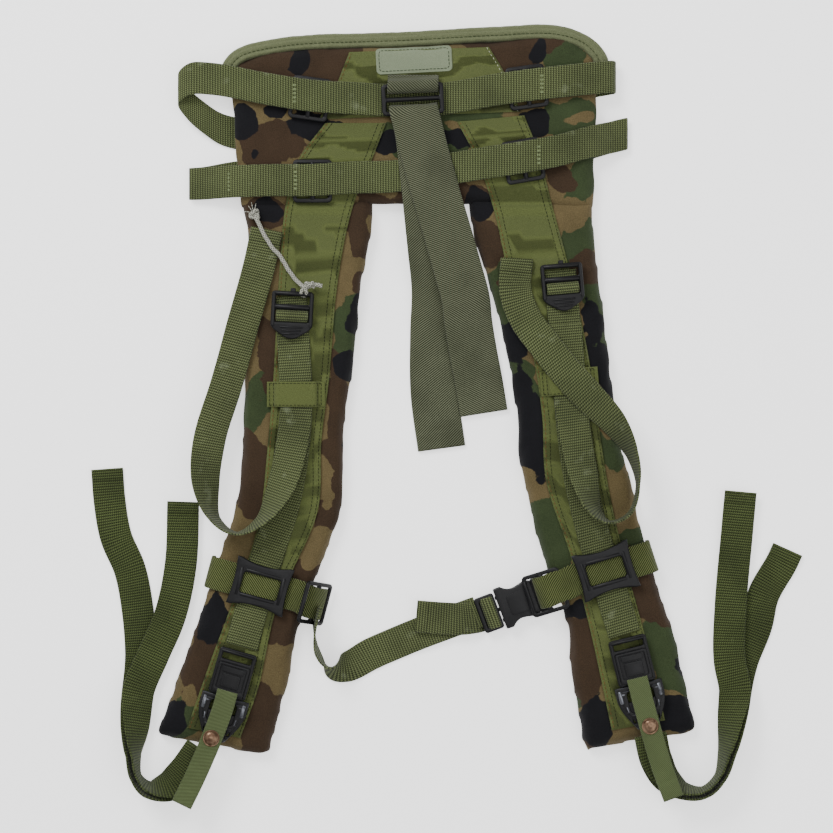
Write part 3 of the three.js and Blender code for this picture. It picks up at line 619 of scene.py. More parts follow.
def hardware(name, body, material, parts, place, *nodes, slot="black_plastic"):
    """One moulded piece from parts in its own plane, set at place = (x, y, z, degrees) and put on its body."""
    x, y, z, degrees = place
    ready = [((turned(part, x, y, z, degrees)[0] + SHIFT) * MM, part[1]) for part in parts]
    obj = merge(name, ready, material)
    obj.data.polygons.foreach_set("use_smooth", [True] * len(obj.data.polygons))
    obj.data.set_sharp_from_angle(angle=math.radians(42))
    return piece(obj, body, *nodes, slot=slot)


def bake(obj):
    """Applies all of an object's modifiers."""
    graph = bpy.context.evaluated_depsgraph_get()
    graph.update()
    mesh = bpy.data.meshes.new_from_object(obj.evaluated_get(graph))
    old = obj.data
    obj.modifiers.clear()
    obj.data = mesh
    bpy.data.meshes.remove(old)
    return obj


# ---- padded pieces -----------------------------------------------------------------------------

SEAM_Y = 164.8
YOKE_TOP = [(-174, 273), (-161, 286), (-130, 294), (-33, 299), (40, 303), (85, 304), (107, 296), (121, 283)]
YOKE_BOTTOM = [(-164, SEAM_Y - 3), (-100, SEAM_Y - 3), (-30, SEAM_Y - 3), (40, SEAM_Y - 3), (117, SEAM_Y - 3)]
LEFT_OUTER = [(-164, SEAM_Y + 7), (-161, 150), (-161, 128), (-165, 60), (-167, 0), (-169, -49), (-176, -80),
              (-187, -115), (-199, -153), (-208, -182), (-222, -226), (-231, -254)]
LEFT_INNER = [(-56, SEAM_Y + 7), (-57, 142), (-62, 114), (-66, 75), (-71, 29), (-76, -10), (-77, -46),
              (-82, -82), (-95, -120), (-111, -164), (-123, -215), (-140, -270)]
RIGHT_INNER = [(16, SEAM_Y + 7), (18, 145), (24, 123), (34, 83), (42, 44), (48, 10), (53, -40),
               (61, -75), (73, -120), (88, -160), (97, -215), (109, -266)]
RIGHT_OUTER = [(117, SEAM_Y + 7), (118, 150), (122, 123), (130, 70), (138, 15), (143, -20), (152, -51),
               (161, -95), (172, -132), (183, -168), (194, -222), (199, -250)]

# Printed patches: (x, y, half length, half width, turn in degrees), one list for each colour.
GREEN = [
    (92, 286, 18, 11, 0), (96, 236, 22, 12, 10), (107, 189, 14, 9, 80), (103, 173, 12, 5, 80), (105, 137, 18, 11, 80),
    (-80, 66, 26, 9, 75), (-153, 8, 22, 11, 60), (-207, -236, 16, 10, 60), (49, 92, 26, 13, 105), (58, 27, 16, 10, 100),
    (80, -94, 30, 18, 105), (105, -224, 9, 6, 0), (119, 78, 34, 9, 95), (133, 34, 5, 4, 0), (131, -18, 24, 12, 100),
    (150, -98, 14, 7, 0), (-22, 219, 34, 14, 0), (100, 296, 32, 8, 0), (14, 240, 22, 9, 0), (168, -151, 18, 8, 160), (175, -190, 28, 14, 115), (-60, 150, 7, 6, 0), (148, -60, 10, 6, 90),
]
BROWN = [
    (-120, 276, 44, 14, 0), (48, 283, 17, 12, 0), (-137, 215, 24, 15, 10), (-142, 160, 24, 10, 0), (-56, 163, 19, 9, 0),
    (31, 137, 18, 8, 110), (88, 185, 9, 7, 0), (-66, 142, 26, 10, 100), (-64, 104, 12, 9, 90), (-84, -14, 48, 10, 94),
    (-92, -78, 13, 11, 0), (-110, -124, 13, 9, 0), (-125, -167, 14, 12, 30), (-142, -245, 32, 20, 70),
    (-139, 48, 24, 9, 90), (-155, -50, 38, 14, 97), (-188, -192, 33, 18, 70), (105, -188, 32, 17, 105),
    (119, -256, 6, 5, 0), (52, 297, 34, 8, 0), (-10, 172, 34, 10, 0), (-120, 289, 44, 8, 0), (111, 115, 12, 8, 0), (163, -143, 20, 15, 120), (-150, 130, 12, 10, 90), (137, -120, 12, 8, 60),
]
BLACK = [
    (-118, 277, 14, 6, 90), (71, 289, 8, 5, 90), (-160, 231, 12, 12, 0), (-138, 240, 11, 7, 0), (-110, 230, 18, 10, -8),
    (68, 232, 12, 11, 0), (-141, 161, 13, 9, 0), (25, 168, 12, 12, 60), (-72, 79, 12, 5, 80), (-79, 41, 14, 10, 30),
    (-79.5, -22, 8, 2.5, 90), (-186, -160, 21, 12, 75), (-219, -241, 17, 9, 60), (52, 54, 17, 13, 110),
    (62, -8, 40, 15, 100), (98, -156, 12, 8, 0), (8, 219, 9, 15, 80), (-47, 217, 12, 7, 60), (116, -241, 24, 14, 110), (114, 74, 17, 8, 95), (126, 31, 25, 12, 110),
    (178, -237, 20, 17, 0), (-95, 226, 8, 6, 0), (-150, 208, 6, 4, 20), (188, -205, 8, 4, 100),
]
TAN_OVER = [
    (-160, 246, 11, 3, 0), (-59, 153, 6, 9, 0), (101, 235, 18, 5, 12), (102, 160, 16, 14, 80), (-70, 121, 12, 9, 0),
    (-95, -67, 5, 8, 0), (-104, -103, 17, 18, 0), (-133, -201, 17, 24, 20), (-165, -96, 18, 20, 40),
    (-202, -220, 10, 13, 20), (75, -22, 5, 10, 0), (70, -53, 19, 17, 20), (125, 2, 17, 20, 30), (140, -66, 20, 28, 30),
    (114, 283, 7, 10, 0), (-105, -74, 5, 4, 0),
]


def patch_field(points, patches, seed):
    """How far inside the nearest patch each point is, in millimetres, with an uneven outline."""
    best = np.full(len(points), -30.0)
    wander = np.array([noise.noise(Vector((p[0] / 17, p[1] / 17, seed))) * 7.5
                       + noise.noise(Vector((p[0] / 6, p[1] / 6, seed + 5))) * 2.2 for p in points])
    for x, y, long_half, short_half, degrees in patches:
        a = math.radians(degrees)
        u = (points[:, 0] - x) * math.cos(a) + (points[:, 1] - y) * math.sin(a)
        v = -(points[:, 0] - x) * math.sin(a) + (points[:, 1] - y) * math.cos(a)
        inside = (1 - np.sqrt((u / long_half) ** 2 + (v / short_half) ** 2)) * min(long_half, short_half)
        best = np.maximum(best, inside)
    return best + wander


def print_camouflage(obj):
    flat = np.array([v.co[:] for v in obj.data.vertices]) / MM - SHIFT
    tan = patch_field(flat, TAN_OVER, 31.0)
    for k, (name, patches) in enumerate((("green", GREEN), ("brown", BROWN), ("black", BLACK))):
        values = patch_field(flat, patches, 3.0 + 7 * k)
        if name != "black":
            values = np.minimum(values + 3.0, -tan + 2.0)
        layer = obj.data.attributes.new(name, "FLOAT", "POINT")
        layer.data.foreach_set("value", values.astype(np.float32))


def pad_loft(name, first, second, bottom, top, material, columns=70, rows=18, inset=0.8):
    """A closed cushion between two edge curves, pulled in a little from them, rounded over at its rim."""
    a, b = resample(smooth(first, 12), 1.0), resample(smooth(second, 12), 1.0)
    a, b = (p[np.linspace(0, len(p) - 1, columns).round().astype(int)] for p in (a, b))
    length = (np.linalg.norm(np.diff(a, axis=0), axis=1).sum() + np.linalg.norm(np.diff(b, axis=0), axis=1).sum()) / 2
    grid = np.zeros((columns, rows, 3))
    under = np.zeros((columns, rows, 3))
    ease = (1 - np.cos(np.linspace(0, math.pi, rows))) / 2
    for i in range(columns):
        width = np.linalg.norm(b[i] - a[i])
        along = length * i / (columns - 1)
        for j, share in enumerate(ease):
            share = inset / width + share * (1 - 2 * inset / width)
            q = a[i] + (b[i] - a[i]) * share
            rim = min(share * width, (1 - share) * width, along + 0.5, length - along + 0.5)
            t = min(rim / 15, 1.0)
            round_over = 0.4 + 0.6 * math.sqrt(1 - (1 - t) ** 2)
            grid[i, j] = (q[0], q[1], bottom + (top - bottom) * round_over)
            under[i, j] = (q[0], q[1], bottom + (1 - min(rim / 6, 1.0)) * 1.6)
    rings = [np.vstack([grid[i], under[i][::-1]]) for i in range(columns)]
    points = (np.array(rings) + SHIFT) * MM
    return loft(name, points, material)


def inflate(obj, cell, pressure, cap, seed, top=None):
    """Fills a cushion with the cloth solver so that its cover bulges and wrinkles, then limits the movement."""
    remesh = obj.modifiers.new("remesh", "REMESH")
    remesh.mode = "VOXEL"
    remesh.voxel_size = cell * MM
    bake(obj)
    start = np.array([v.co[:] for v in obj.data.vertices])
    cloth = obj.modifiers.new("cloth", "CLOTH")
    settings = cloth.settings
    settings.quality = 5
    settings.mass = 0.25
    settings.use_pressure = True
    settings.uniform_pressure_force = pressure
    settings.shrink_min = -0.03
    settings.tension_stiffness = 12
    settings.compression_stiffness = 12
    settings.shear_stiffness = 6
    settings.bending_stiffness = 0.3
    settings.effector_weights.gravity = 0
    cloth.point_cache.frame_start = 1
    cloth.point_cache.frame_end = 20
    for frame_number in range(1, 21):
        scene.frame_set(frame_number)
    bake(obj)
    scene.frame_set(1)
    moved = np.array([v.co[:] for v in obj.data.vertices])
    shift = (moved - start) * (0.25, 0.25, 1.0)
    size = np.linalg.norm(shift, axis=1, keepdims=True)
    moved = start + shift * np.minimum(1, cap * MM / np.maximum(size, 1e-9))
    for i, p in enumerate(moved):
        q = Vector(p / MM)
        ripple = noise.noise(q / 21 + Vector((seed, 0, 0))) * 1.3 + noise.noise(q / 9 + Vector((0, seed, 0))) * 0.8
        if p[2] > 5 * MM:
            moved[i, 2] += ripple * MM
        moved[i, 0] += (noise.noise(q / 19 + Vector((seed, 5, 0))) * 1.5 + noise.noise(q / 8 + Vector((seed, 9, 0))) * 0.6) * MM
        moved[i, 1] += noise.noise(q / 19 + Vector((seed, 0, 8))) * 1.0 * MM
    moved[:, 2] = np.maximum(moved[:, 2], 0.15 * MM)
    if top is not None:
        moved[:, 2] = np.minimum(moved[:, 2], (top + SHIFT[2]) * MM)
    obj.data.vertices.foreach_set("co", moved.ravel())
    divide = obj.modifiers.new("divide", "SUBSURF")
    divide.levels = 1
    divide.render_levels = 1
    bake(obj)
    obj.data.polygons.foreach_set("use_smooth", [True] * len(obj.data.polygons))
    return obj


def crease(obj, route, depth, reach, pucker=0.0, pitch=7.0):
    """Sinks a sewn line into the top of a cushion, with short puckers running out from it. Millimetres."""
    path = resample(np.array([(q[0], q[1], 0.0) for q in route]), 1.5)[:, :2]
    points = np.array([v.co[:] for v in obj.data.vertices]) / MM - SHIFT
    for start in range(0, len(points), 4000):
        block = points[start:start + 4000]
        gap = np.linalg.norm(block[:, None, :2] - path[None], axis=2)
        near = gap.argmin(1)
        d = gap[np.arange(len(block)), near]
        ramp = np.exp(-(d / reach) ** 2)
        fold = np.array([noise.noise(Vector((k * 1.5 / pitch, 3.3, depth))) for k in near])
        drop = ramp * depth + np.exp(-(d / (reach * 2.6)) ** 2) * np.abs(fold) * pucker
        block[:, 2] -= np.where(block[:, 2] > 4, drop, 0)
        points[start:start + 4000] = block
    obj.data.vertices.foreach_set("co", ((points + SHIFT) * MM).ravel())


def make_padding(materials):
    camo = materials["camouflage_cloth"]
    yoke = pad_loft("yoke_pad_cover", YOKE_BOTTOM, YOKE_TOP, 1.9, 12.4, camo, columns=90, rows=30)
    inflate(yoke, 4.5, 4.0, 4.0, 11, top=14.0)
    left = pad_loft("left_pad_cover", LEFT_OUTER, LEFT_INNER, 0.1, 12.2, camo, columns=130)
    inflate(left, 4.5, 4.0, 4.5, 23, top=14.0)
    right = pad_loft("right_pad_cover", RIGHT_INNER, RIGHT_OUTER, 0.1, 12.2, camo, columns=130)
    inflate(right, 4.5, 4.0, 4.5, 37, top=14.0)
    for obj, node, edges in ((yoke, "yoke_pad", (YOKE_TOP,)), (left, "left_pad", (LEFT_OUTER, LEFT_INNER)),
                             (right, "right_pad", (RIGHT_INNER, RIGHT_OUTER))):
        for edge in edges:
            crease(obj, smooth(edge, 8), 1.6, 2.5, 3.2)
        print_camouflage(obj)
        piece(obj, ROOT, node, slot="camouflage_cloth")
    return yoke, left, right


materials = {
    "camouflage_cloth": camouflage_material(),
    "olive_cloth": cloth_material("olive_cloth", (48, 55, 24), (98, 106, 62)),
    "binding": cloth_material("binding", (58, 64, 40), (112, 118, 88)),
    "webbing": webbing_material("webbing", (28, 33, 18), (108, 117, 76)),
    "dark_webbing": webbing_material("dark_webbing", (20, 26, 10), (86, 97, 55), worn_highlight=(95, 105, 70)),
    "herringbone": twill_material("herringbone", (18, 24, 8), (100, 108, 62), 2.2, 1.1),
    "twill_strap": twill_material("twill_strap", (30, 34, 20), (104, 108, 86), 1.9),
    "tape": twill_material("tape", (58, 68, 40), (94, 105, 70), 1.2, 0.5),
    "label_cloth": cloth_material("label_cloth", (98, 108, 86), (128, 138, 114), 0.7),
    "black_plastic": plastic_material(),
    "snap_metal": metal_material("snap_metal", (122, 98, 78), (84, 62, 48)),
    "steel": metal_material("steel", (104, 106, 112), (52, 52, 56)),
    "cord_braid": braid_material(),
    "olive_thread": thread_material("olive_thread", (58, 68, 42)),
    "dark_thread": thread_material("dark_thread", (26, 30, 20)),
    "brown_thread": thread_material("brown_thread", (110, 78, 46)),
    "pale_thread": thread_material("pale_thread", (190, 194, 170)),
    "tack_thread": thread_material("tack_thread", (142, 156, 112)),
}
make_stage()
yoke, left_pad, right_pad = make_padding(materials)


# ---- routes of the webbing ---------------------------------------------------------------------

OVER = SECOND_Z + THICK + 0.9
LEVEL = [[0, 1, 0]]
UPPER_CROSS = [
    (-14, 236, FLOOR_Z), (-80, 226, FLOOR_Z), (-140, 222, FLOOR_Z), (-177, 227, 1.3), (-193, 236.5, 5.8), (-206, 248, 8),
    (-212, 258, 11.4), (-203, 265.5, 15.6), (-185, 265.5, 16.8), (-140, 257, OVER - 1), (-108, 252, OVER),
    (-76, 250, OVER - 1), (-50, 249, WEB_Z + 0.3), (-26, 249, WEB_Z + 0.1), (-2, 250, WEB_Z + 0.3),
    (38, 256.5, OVER - 1), (63, 260, OVER), (88, 263, OVER - 1), (118, 266.5, WEB_Z), (131, 268, 12),
    (133, 268, 6), (125, 267, 1.6), (108, 264, FLOOR_Z), (60, 256, FLOOR_Z), (2, 240, FLOOR_Z),
]
LOWER_CROSS = [
    (-34, 192, FLOOR_Z), (-100, 192, FLOOR_Z), (-165, 190, FLOOR_Z), (-194, 185, 1.4), (-204, 184, 3.8), (-194, 184, 6),
    (-168, 185, 14.4), (-140, 185.5, OVER - 1), (-106, 185.5, OVER), (-74, 187.5, OVER - 1), (-40, 189, WEB_Z),
    (0, 194.5, WEB_Z), (32, 199.5, OVER - 1), (60, 203.5, OVER), (86, 208.5, OVER - 1), (112, 216, 14.8),
    (132, 221, 7), (143, 224, 4), (133, 222, 1.7), (112, 216, FLOOR_Z), (40, 202, FLOOR_Z), (-18, 193, FLOOR_Z),
]
BAR = 3.2
SLIDE_Z = SECOND_Z + THICK + 0.6
SLIDE_TOP = SLIDE_Z + BAR + THICK / 2 + 0.6
SLIDE_UNDER = SLIDE_Z - THICK / 2 - 0.3
ANCHOR = [
    (-26.5, 268.4, WEB_Z + 0.7), (-26.6, 266, 18.6), (-26.8, 262, SLIDE_TOP - 0.4), (-27, 257, SLIDE_TOP),
    (-27, 254.2, SLIDE_Z + 1), (-27, 256.6, SLIDE_UNDER + 0.1), (-27, 260, SLIDE_UNDER),
]
CENTRE = [
    (-4, -26, FLOOR_Z), (-10, 20, FLOOR_Z), (-10, 66, 1.2), (-9, 100, 5), (-12, 132, 13), (-15, 160, 18),
    (-18, 190, THIRD_Z - 1.8), (-22, 222, SLIDE_UNDER), (-26, 240, SLIDE_UNDER + 0.1), (-26.8, 244, SLIDE_Z + 1),
    (-26.5, 241, SLIDE_TOP), (-24, 232, SLIDE_TOP), (-17, 205, 21), (-8, 172, 20.6), (1, 142, 17.2), (9, 114, 14),
    (15, 92, 11.4), (17, 74, 7.6), (21, 50, 4), (26, 24, 3.2), (29.5, 2, 3.2),
]
CENTRE_ACROSS = [
    (-1, 0, 0), (-1, 0, 0), (-1, 0, 0), (-1, 0, 0), (-1, 0, 0), (-1, -0.1, 0), (-1, -0.1, 0), (-1, -0.05, 0), (-1, -0.05, 0),
    (-1, -0.05, 0), (-1, -0.05, 0), (-1, -0.2, 0), (-1, -0.3, 0), (-1, -0.3, 0), (-1, -0.3, 0), (-1, -0.3, 0), (-1, -0.3, 0),
    (-1, -0.15, 0), (-1, -0.2, 0), (-1, -0.2, 0), (-1, -0.2, 0),
]
LEFT_LOAD = [
    (-123, 94, WEB_Z), (-121, 60, WEB_Z), (-119, 20, WEB_Z), (-121, -25, WEB_Z), (-129, -70, WEB_Z),
    (-140, -105, WEB_Z), (-151, -142, WEB_Z), (-162, -182, WEB_Z),
]
RIGHT_LOAD = [
    (89, 115, WEB_Z), (92, 80, WEB_Z), (95, 40, WEB_Z), (98, 0, WEB_Z), (104, -45, WEB_Z),
    (114, -88, WEB_Z), (126, -128, WEB_Z), (140, -172, WEB_Z),
]
LEFT_TAIL = [
    (-121, 56, SECOND_Z), (-119.5, 30, SECOND_Z), (-119, 4, SECOND_Z), (-122, -22, 19.6), (-130, -54, 23), (-146, -82, 27.5),
    (-166, -92, 27.5), (-183, -80, 24.5), (-190, -54, 20), (-187, -18, 17.4), (-174, 24, 17.2), (-162, 68, 17.2),
    (-148, 118, 17.2), (-142, 147, 17.2),
]
LEFT_TAIL_ACROSS = [
    (1, 0, 0), (1, 0, 0), (1, 0, 0), (1, 0, 0.1), (0.9, -0.2, 0.45), (0.25, -0.25, 1),
    (0, 0, 1), (-0.2, -0.1, 1), (-0.8, 0, 0.6), (-1, -0.1, 0.1), (-1, 0.2, 0), (-1, 0.2, 0), (-1, 0.2, 0), (-1, 0.2, 0),
]
RIGHT_TAIL = [
    (93, 72, SECOND_Z), (95.5, 40, SECOND_Z), (97, 12, SECOND_Z), (101, -16, 20), (107, -46, 26), (115, -73, 31),
    (128, -83, 31), (143, -76, 29.6), (149.5, -54, 27.5), (145, -30, 26.5), (131, -6, 25), (112, 14, 23.4),
    (94, 34, 22.6), (78, 54, 21.4), (62, 76, 18.6), (54, 98, 17.4), (55, 124, 17.4),
]
RIGHT_TAIL_ACROSS = [
    (1, 0, 0), (1, 0, 0), (1, 0, 0), (1, 0, -0.1), (0.9, 0.2, -0.4), (0.4, 0.3, -1),
    (0, 0, -1), (0, 0, -1), (0, 0, -1), (-0.3, 0, -0.9), (-0.6, -0.4, -0.6), (-0.7, -0.6, -0.2),
    (-0.8, -0.6, 0), (-0.8, -0.6, 0), (-0.8, -0.6, 0), (-1, -0.2, 0), (-1, 0, 0),
]
SLACK = [
    (-102, -150, 13.1), (-104.5, -168, 13.6), (-102.5, -186, 13.6), (-93, -199, 11.6), (-78, -198.5, 5), (-60, -189, FLOOR_Z + 0.4),
    (-38, -179.6, FLOOR_Z), (-21, -172.5, 2.6), (0, -164.6, 3.3), (18, -158, 4), (25, -155.4, 4.6),
]
SLACK_ACROSS = [
    (0.3, 0, 1), (0.1, 0, 1), (-0.1, 0, 1), (-0.3, 0.4, 1), (-0.5, 1, 0.3), (-0.45, 1, 0), (-0.45, 1, 0),
    (-0.4, 1, 0), (-0.37, 1, 0), (-0.37, 1, 0), (-0.37, 1, 0),
]
LEFT_TURN = [
    (-194, -262, 17), (-207, -281, 14, 10), (-220, -294, 12, 40), (-236, -297, 13.8, 80), (-247, -287, 13.8, 90),
    (-249.5, -268, 13.8, 80), (-248, -246, 11.8, 45), (-245, -218, 4, 8),
]
LEFT_OUTER_LEG = LEFT_TURN + [
    (-243, -190, FLOOR_Z), (-246, -152, FLOOR_Z), (-252, -122, FLOOR_Z), (-263, -96, FLOOR_Z), (-268, -68, FLOOR_Z),
    (-270, -42, FLOOR_Z),
]
LEFT_INNER_LEG = LEFT_TURN + [
    (-232, -188, FLOOR_Z), (-219, -157, FLOOR_Z), (-211, -118, FLOOR_Z), (-209, -68, FLOOR_Z),
]
RIGHT_TURN = [
    (160, -251, 17), (164, -270, 15, -10), (172, -287, 12.5, -40), (187, -298, 13.6, -75), (204, -299, 13.8, -90),
    (217, -287, 13.8, -90), (223, -266, 13.8, -75), (226.5, -242, 12, -48), (229, -218, 5, -12),
]
RIGHT_OUTER_LEG = RIGHT_TURN + [
    (235, -195, FLOOR_Z), (246, -167, FLOOR_Z), (252, -142, FLOOR_Z), (266, -117, FLOOR_Z), (271, -106, FLOOR_Z),
]
RIGHT_INNER_LEG = RIGHT_TURN + [
    (224, -192, FLOOR_Z), (225, -150, FLOOR_Z), (230, -93, FLOOR_Z), (233, -60, FLOOR_Z),
]


# ---- sewn panels -------------------------------------------------------------------------------

def draped(name, first, second, surface, material, columns, rows, lift=0.3, thick=0.9, hem=4.5, ripple=0.35, seed=0,
           smooth_edges=True, level=None):
    """A panel of cloth between two edges, laid on what is under it, with a folded hem down both edges."""
    a = smooth(first, 12) if smooth_edges else np.asarray(first, float)
    b = smooth(second, 12) if smooth_edges else np.asarray(second, float)
    a, b = (p[np.linspace(0, len(p) - 1, columns).round().astype(int)] if smooth_edges else resample(p, 0.01)[
        np.linspace(0, len(resample(p, 0.01)) - 1, columns).round().astype(int)] for p in (a, b))
    grid = np.zeros((columns, rows, 2))
    heights = np.zeros((columns, rows))
    extra = np.zeros((columns, rows))
    for i in range(columns):
        width = np.linalg.norm(b[i] - a[i])
        for j in range(rows):
            share = j / (rows - 1)
            q = a[i] + (b[i] - a[i]) * share
            grid[i, j] = q[:2]
            edge = min(share, 1 - share) * width
            extra[i, j] = 0.35 if edge < hem else 0.0
            heights[i, j] = surface.height(q[0], q[1]) if level is None else level
            heights[i, j] += noise.noise(Vector((q[0] / 15, q[1] / 15, seed))) * ripple
            heights[i, j] += noise.noise(Vector((q[0] / 5, q[1] / 8, seed + 3))) * ripple * 0.4
    for _ in range(14):
        wide = np.pad(heights, 1, mode="edge")
        heights = (wide[:-2, 1:-1] + wide[2:, 1:-1] + wide[1:-1, :-2] + wide[1:-1, 2:] + heights) / 5
    rings, uv = [], []
    for i in range(columns):
        top = np.column_stack([grid[i], heights[i] + lift + thick + extra[i]])
        low = np.column_stack([grid[i], heights[i] + lift])
        rings.append((np.vstack([top, low[::-1]]) + SHIFT) * MM)
        uv.append([(p[1] * MM, p[0] * MM) for p in np.vstack([top, low[::-1]])])
    obj = loft(name, rings, material, uv)
    obj["length_mm"] = float(np.linalg.norm(np.diff((a + b) / 2, axis=0), axis=1).sum())
    obj["width_mm"] = float(np.linalg.norm(b - a, axis=1).max())
    obj["flat_mm2"] = float(np.mean(np.linalg.norm(b - a, axis=1)) * obj["length_mm"])
    return obj


def inset_edge(edge, other, distance):
    """An edge curve moved in towards the other one by a distance in millimetres."""
    a, b = smooth(edge, 12)[:, :2], smooth(other, 12)[:, :2]
    return a + unit(b - a) * distance


LEFT_FACING = (
    [(-96, 231), (-117, 202), (-127, 168), (-133, 101), (-137, 29), (-141, -19), (-149, -86), (-170, -149),
     (-186, -192), (-205, -246)],
    [(-48, 231), (-58, 205), (-74, 166), (-86, 107), (-93, 29), (-99, -19), (-102, -75), (-134, -150),
     (-149, -215), (-163, -254)])
RIGHT_FACING = (
    [(8, 232), (22, 205), (36, 166), (50, 105), (67, 51), (75, 0), (78, -50), (97, -109), (112, -165), (130, -248)],
    [(61, 237), (72, 208), (83, 166), (98, 110), (111, 50), (120, -10), (128, -60), (143, -125), (156, -173), (172, -240)])
PANEL = ([(-77, 287), (-92, 250), (-101, 234)], [(33, 291), (45, 271), (58, 240)])
BINDING = [(-174.6, 262, 6.4), (-174.6, 274, 6.4), (-166, 285.4, 6.4), (-130, 295, 6.4), (-33, 299.6, 6.4), (40, 303.6, 6.4), (86, 304.6, 6.4),
           (110, 296.6, 6.4), (122, 284, 6.4), (124.5, 271, 6.4)]
BINDING_ACROSS = [(-1, 0, 0), (-0.85, 0.5, 0), (-0.5, 0.8, 0), (0, 1, 0), (0, 1, 0), (0, 1, 0), (0, 1, 0), (0.5, 0.8, 0), (0.85, 0.5, 0), (1, 0, 0)]


def make_binding():
    """The tape folded round the yoke's top edge: two soft ridges with a groove between, gathered along its length."""
    centre, side, up, distance = ribbon_frames(BINDING, BINDING_ACROSS, 12)
    stops = np.linspace(0, distance[-1], int(distance[-1] / 1.2))
    centre, side, up = (np.stack([np.interp(stops, distance, v[:, k]) for k in range(3)], 1) for v in (centre, side, up))
    section = [(-7.6, 2.0), (-7.3, 5.0), (-6.2, 6.6), (-4.9, 6.9), (-3.8, 6.1), (-3.0, 5.7), (-2.0, 6.2), (-0.6, 6.5), (0.6, 5.9),
               (1.2, 5.2), (2.0, 5.5), (3.2, 5.0), (4.1, 3.6), (4.6, 1.6), (4.6, -1.6), (3.8, -3.8), (2.2, -4.8), (-1.5, -4.9),
               (-5.8, -4.6), (-7.6, -2.0)]
    rings, uv = [], []
    for i, d in enumerate(stops):
        ring = []
        for x, z in section:
            pull = noise.noise(Vector((d / 4.5, x * 0.25, z * 0.15))) * 0.5 + noise.noise(Vector((d / 22, x * 0.1, 4))) * 0.5
            taper = min(1, 0.5 + min(d, stops[-1] - d) / 6)
            ring.append((centre[i] + (side[i] * x + up[i] * z) * taper * (1 + 0.1 * pull) + (0, 0, pull * 0.4) + SHIFT) * MM)
        rings.append(ring)
        uv.append([(d * MM, k * 1.4 * MM) for k in range(len(section))])
    obj = loft("yoke_binding_tape", rings, materials["binding"], uv)
    return piece(obj, ROOT, "yoke_binding", slot="olive_cloth")


def label_edges(x, y, width, height, radius, degrees):
    """Left and right edges of a rounded patch, from its top to its bottom."""
    half, rise = width / 2, height / 2
    side = arc(-half + radius, rise - radius, radius, 90, 180, 8) + arc(-half + radius, radius - rise, radius, 180, 270, 8)
    turn = np.array(Matrix.Rotation(math.radians(degrees), 2))
    left = np.array(side) @ turn.T + (x, y)
    right = np.array([(-p[0], p[1]) for p in side]) @ turn.T + (x, y)
    pad = [[0.0]] * len(side)
    return np.hstack([left, pad]), np.hstack([right, pad])


def make_panels():
    ground = Surface(yoke, left_pad, right_pad)
    olive = materials["olive_cloth"]
    panel = draped("centre_panel_cloth", *PANEL, ground, olive, 60, 60, 0.2, 0.8, hem=3, ripple=0.4, seed=5)
    piece(panel, ROOT, "centre_panel", slot="olive_cloth")
    facings = []
    for side, edges, pad in (("left", LEFT_FACING, left_pad), ("right", RIGHT_FACING, right_pad)):
        facing = draped(f"{side}_facing_cloth", *edges, ground, olive, 200, 26, 0.25, 0.9, seed=9 + len(facings))
        piece(facing, ROOT, f"{side}_facing", slot="olive_cloth")
        facings.append(facing)
    top = Surface(yoke, left_pad, right_pad, panel, *facings)
    left_edge, right_edge = label_edges(-26, 281, 60, 21, 3.5, 3)
    label = draped("label_patch_cloth", left_edge, right_edge, top, materials["label_cloth"], 60, 60, 0.1, 0.6, hem=0,
                   ripple=0.6, seed=2, smooth_edges=False)
    piece(label, ROOT, "label_patch", slot="label_cloth")
    return panel, facings, label, Surface(yoke, left_pad, right_pad, panel, label, *facings)


def sew_panels(top):
    lift = 0.12
    brown = [top.lay(inset_edge(PANEL[0], PANEL[1], 2), lift), top.lay(inset_edge(LEFT_FACING[0], LEFT_FACING[1], 2), lift),
             top.lay(inset_edge(RIGHT_FACING[0], RIGHT_FACING[1], 2), lift)]
    thread_on("brown_seams", ROOT, materials["brown_thread"], brown, 0.28, 2.4, 1.1)
    dark = [top.lay(inset_edge(a, b, d), lift) for a, b in (LEFT_FACING[::-1], RIGHT_FACING[::-1]) for d in (1.8, 6.2)]
    dark += [top.lay(inset_edge(a, b, 5.6), lift) for a, b in (LEFT_FACING, RIGHT_FACING)]
    turn = np.array(Matrix.Rotation(math.radians(3), 2))
    frame_line = rounded(55, 16.5, 2)
    dark.append(top.lay(np.array(frame_line + frame_line[:1]) @ turn.T + (-26, 281), lift, 0.8))
    thread_on("dark_seams", ROOT, materials["dark_thread"], dark, 0.26, 2.2, 0.7)
    pale = [top.lay(inset_edge(PANEL[1], PANEL[0], 2), lift)]
    thread_on("pale_seams", ROOT, materials["pale_thread"], pale, 0.24, 1.8, 1.4)
    bind = [(x - s[0] * 3.0, y - s[1] * 3.0) for (x, y, _), s in zip(BINDING, BINDING_ACROSS)]
    line = smooth([(x, y, 0) for x, y in bind], 12)
    line[:, 2] = 12.6
    thread_on("binding_seam", ROOT, materials["olive_thread"], [line], 0.3, 2.6, 0.9)


# ---- straps ------------------------------------------------------------------------------------

def strap(name, body, points, across, kind, *nodes, width=WEB, slot="webbing", held="laid", rests_on=(), **shape):
    """A ribbon of webbing on a body, with its length along the route stored on it."""
    obj = ribbon(name, points, across, materials[kind], width=width, **shape)
    if body:
        piece(obj, body, *nodes, slot=slot)
    else:
        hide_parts(*nodes)
    return laid(obj)


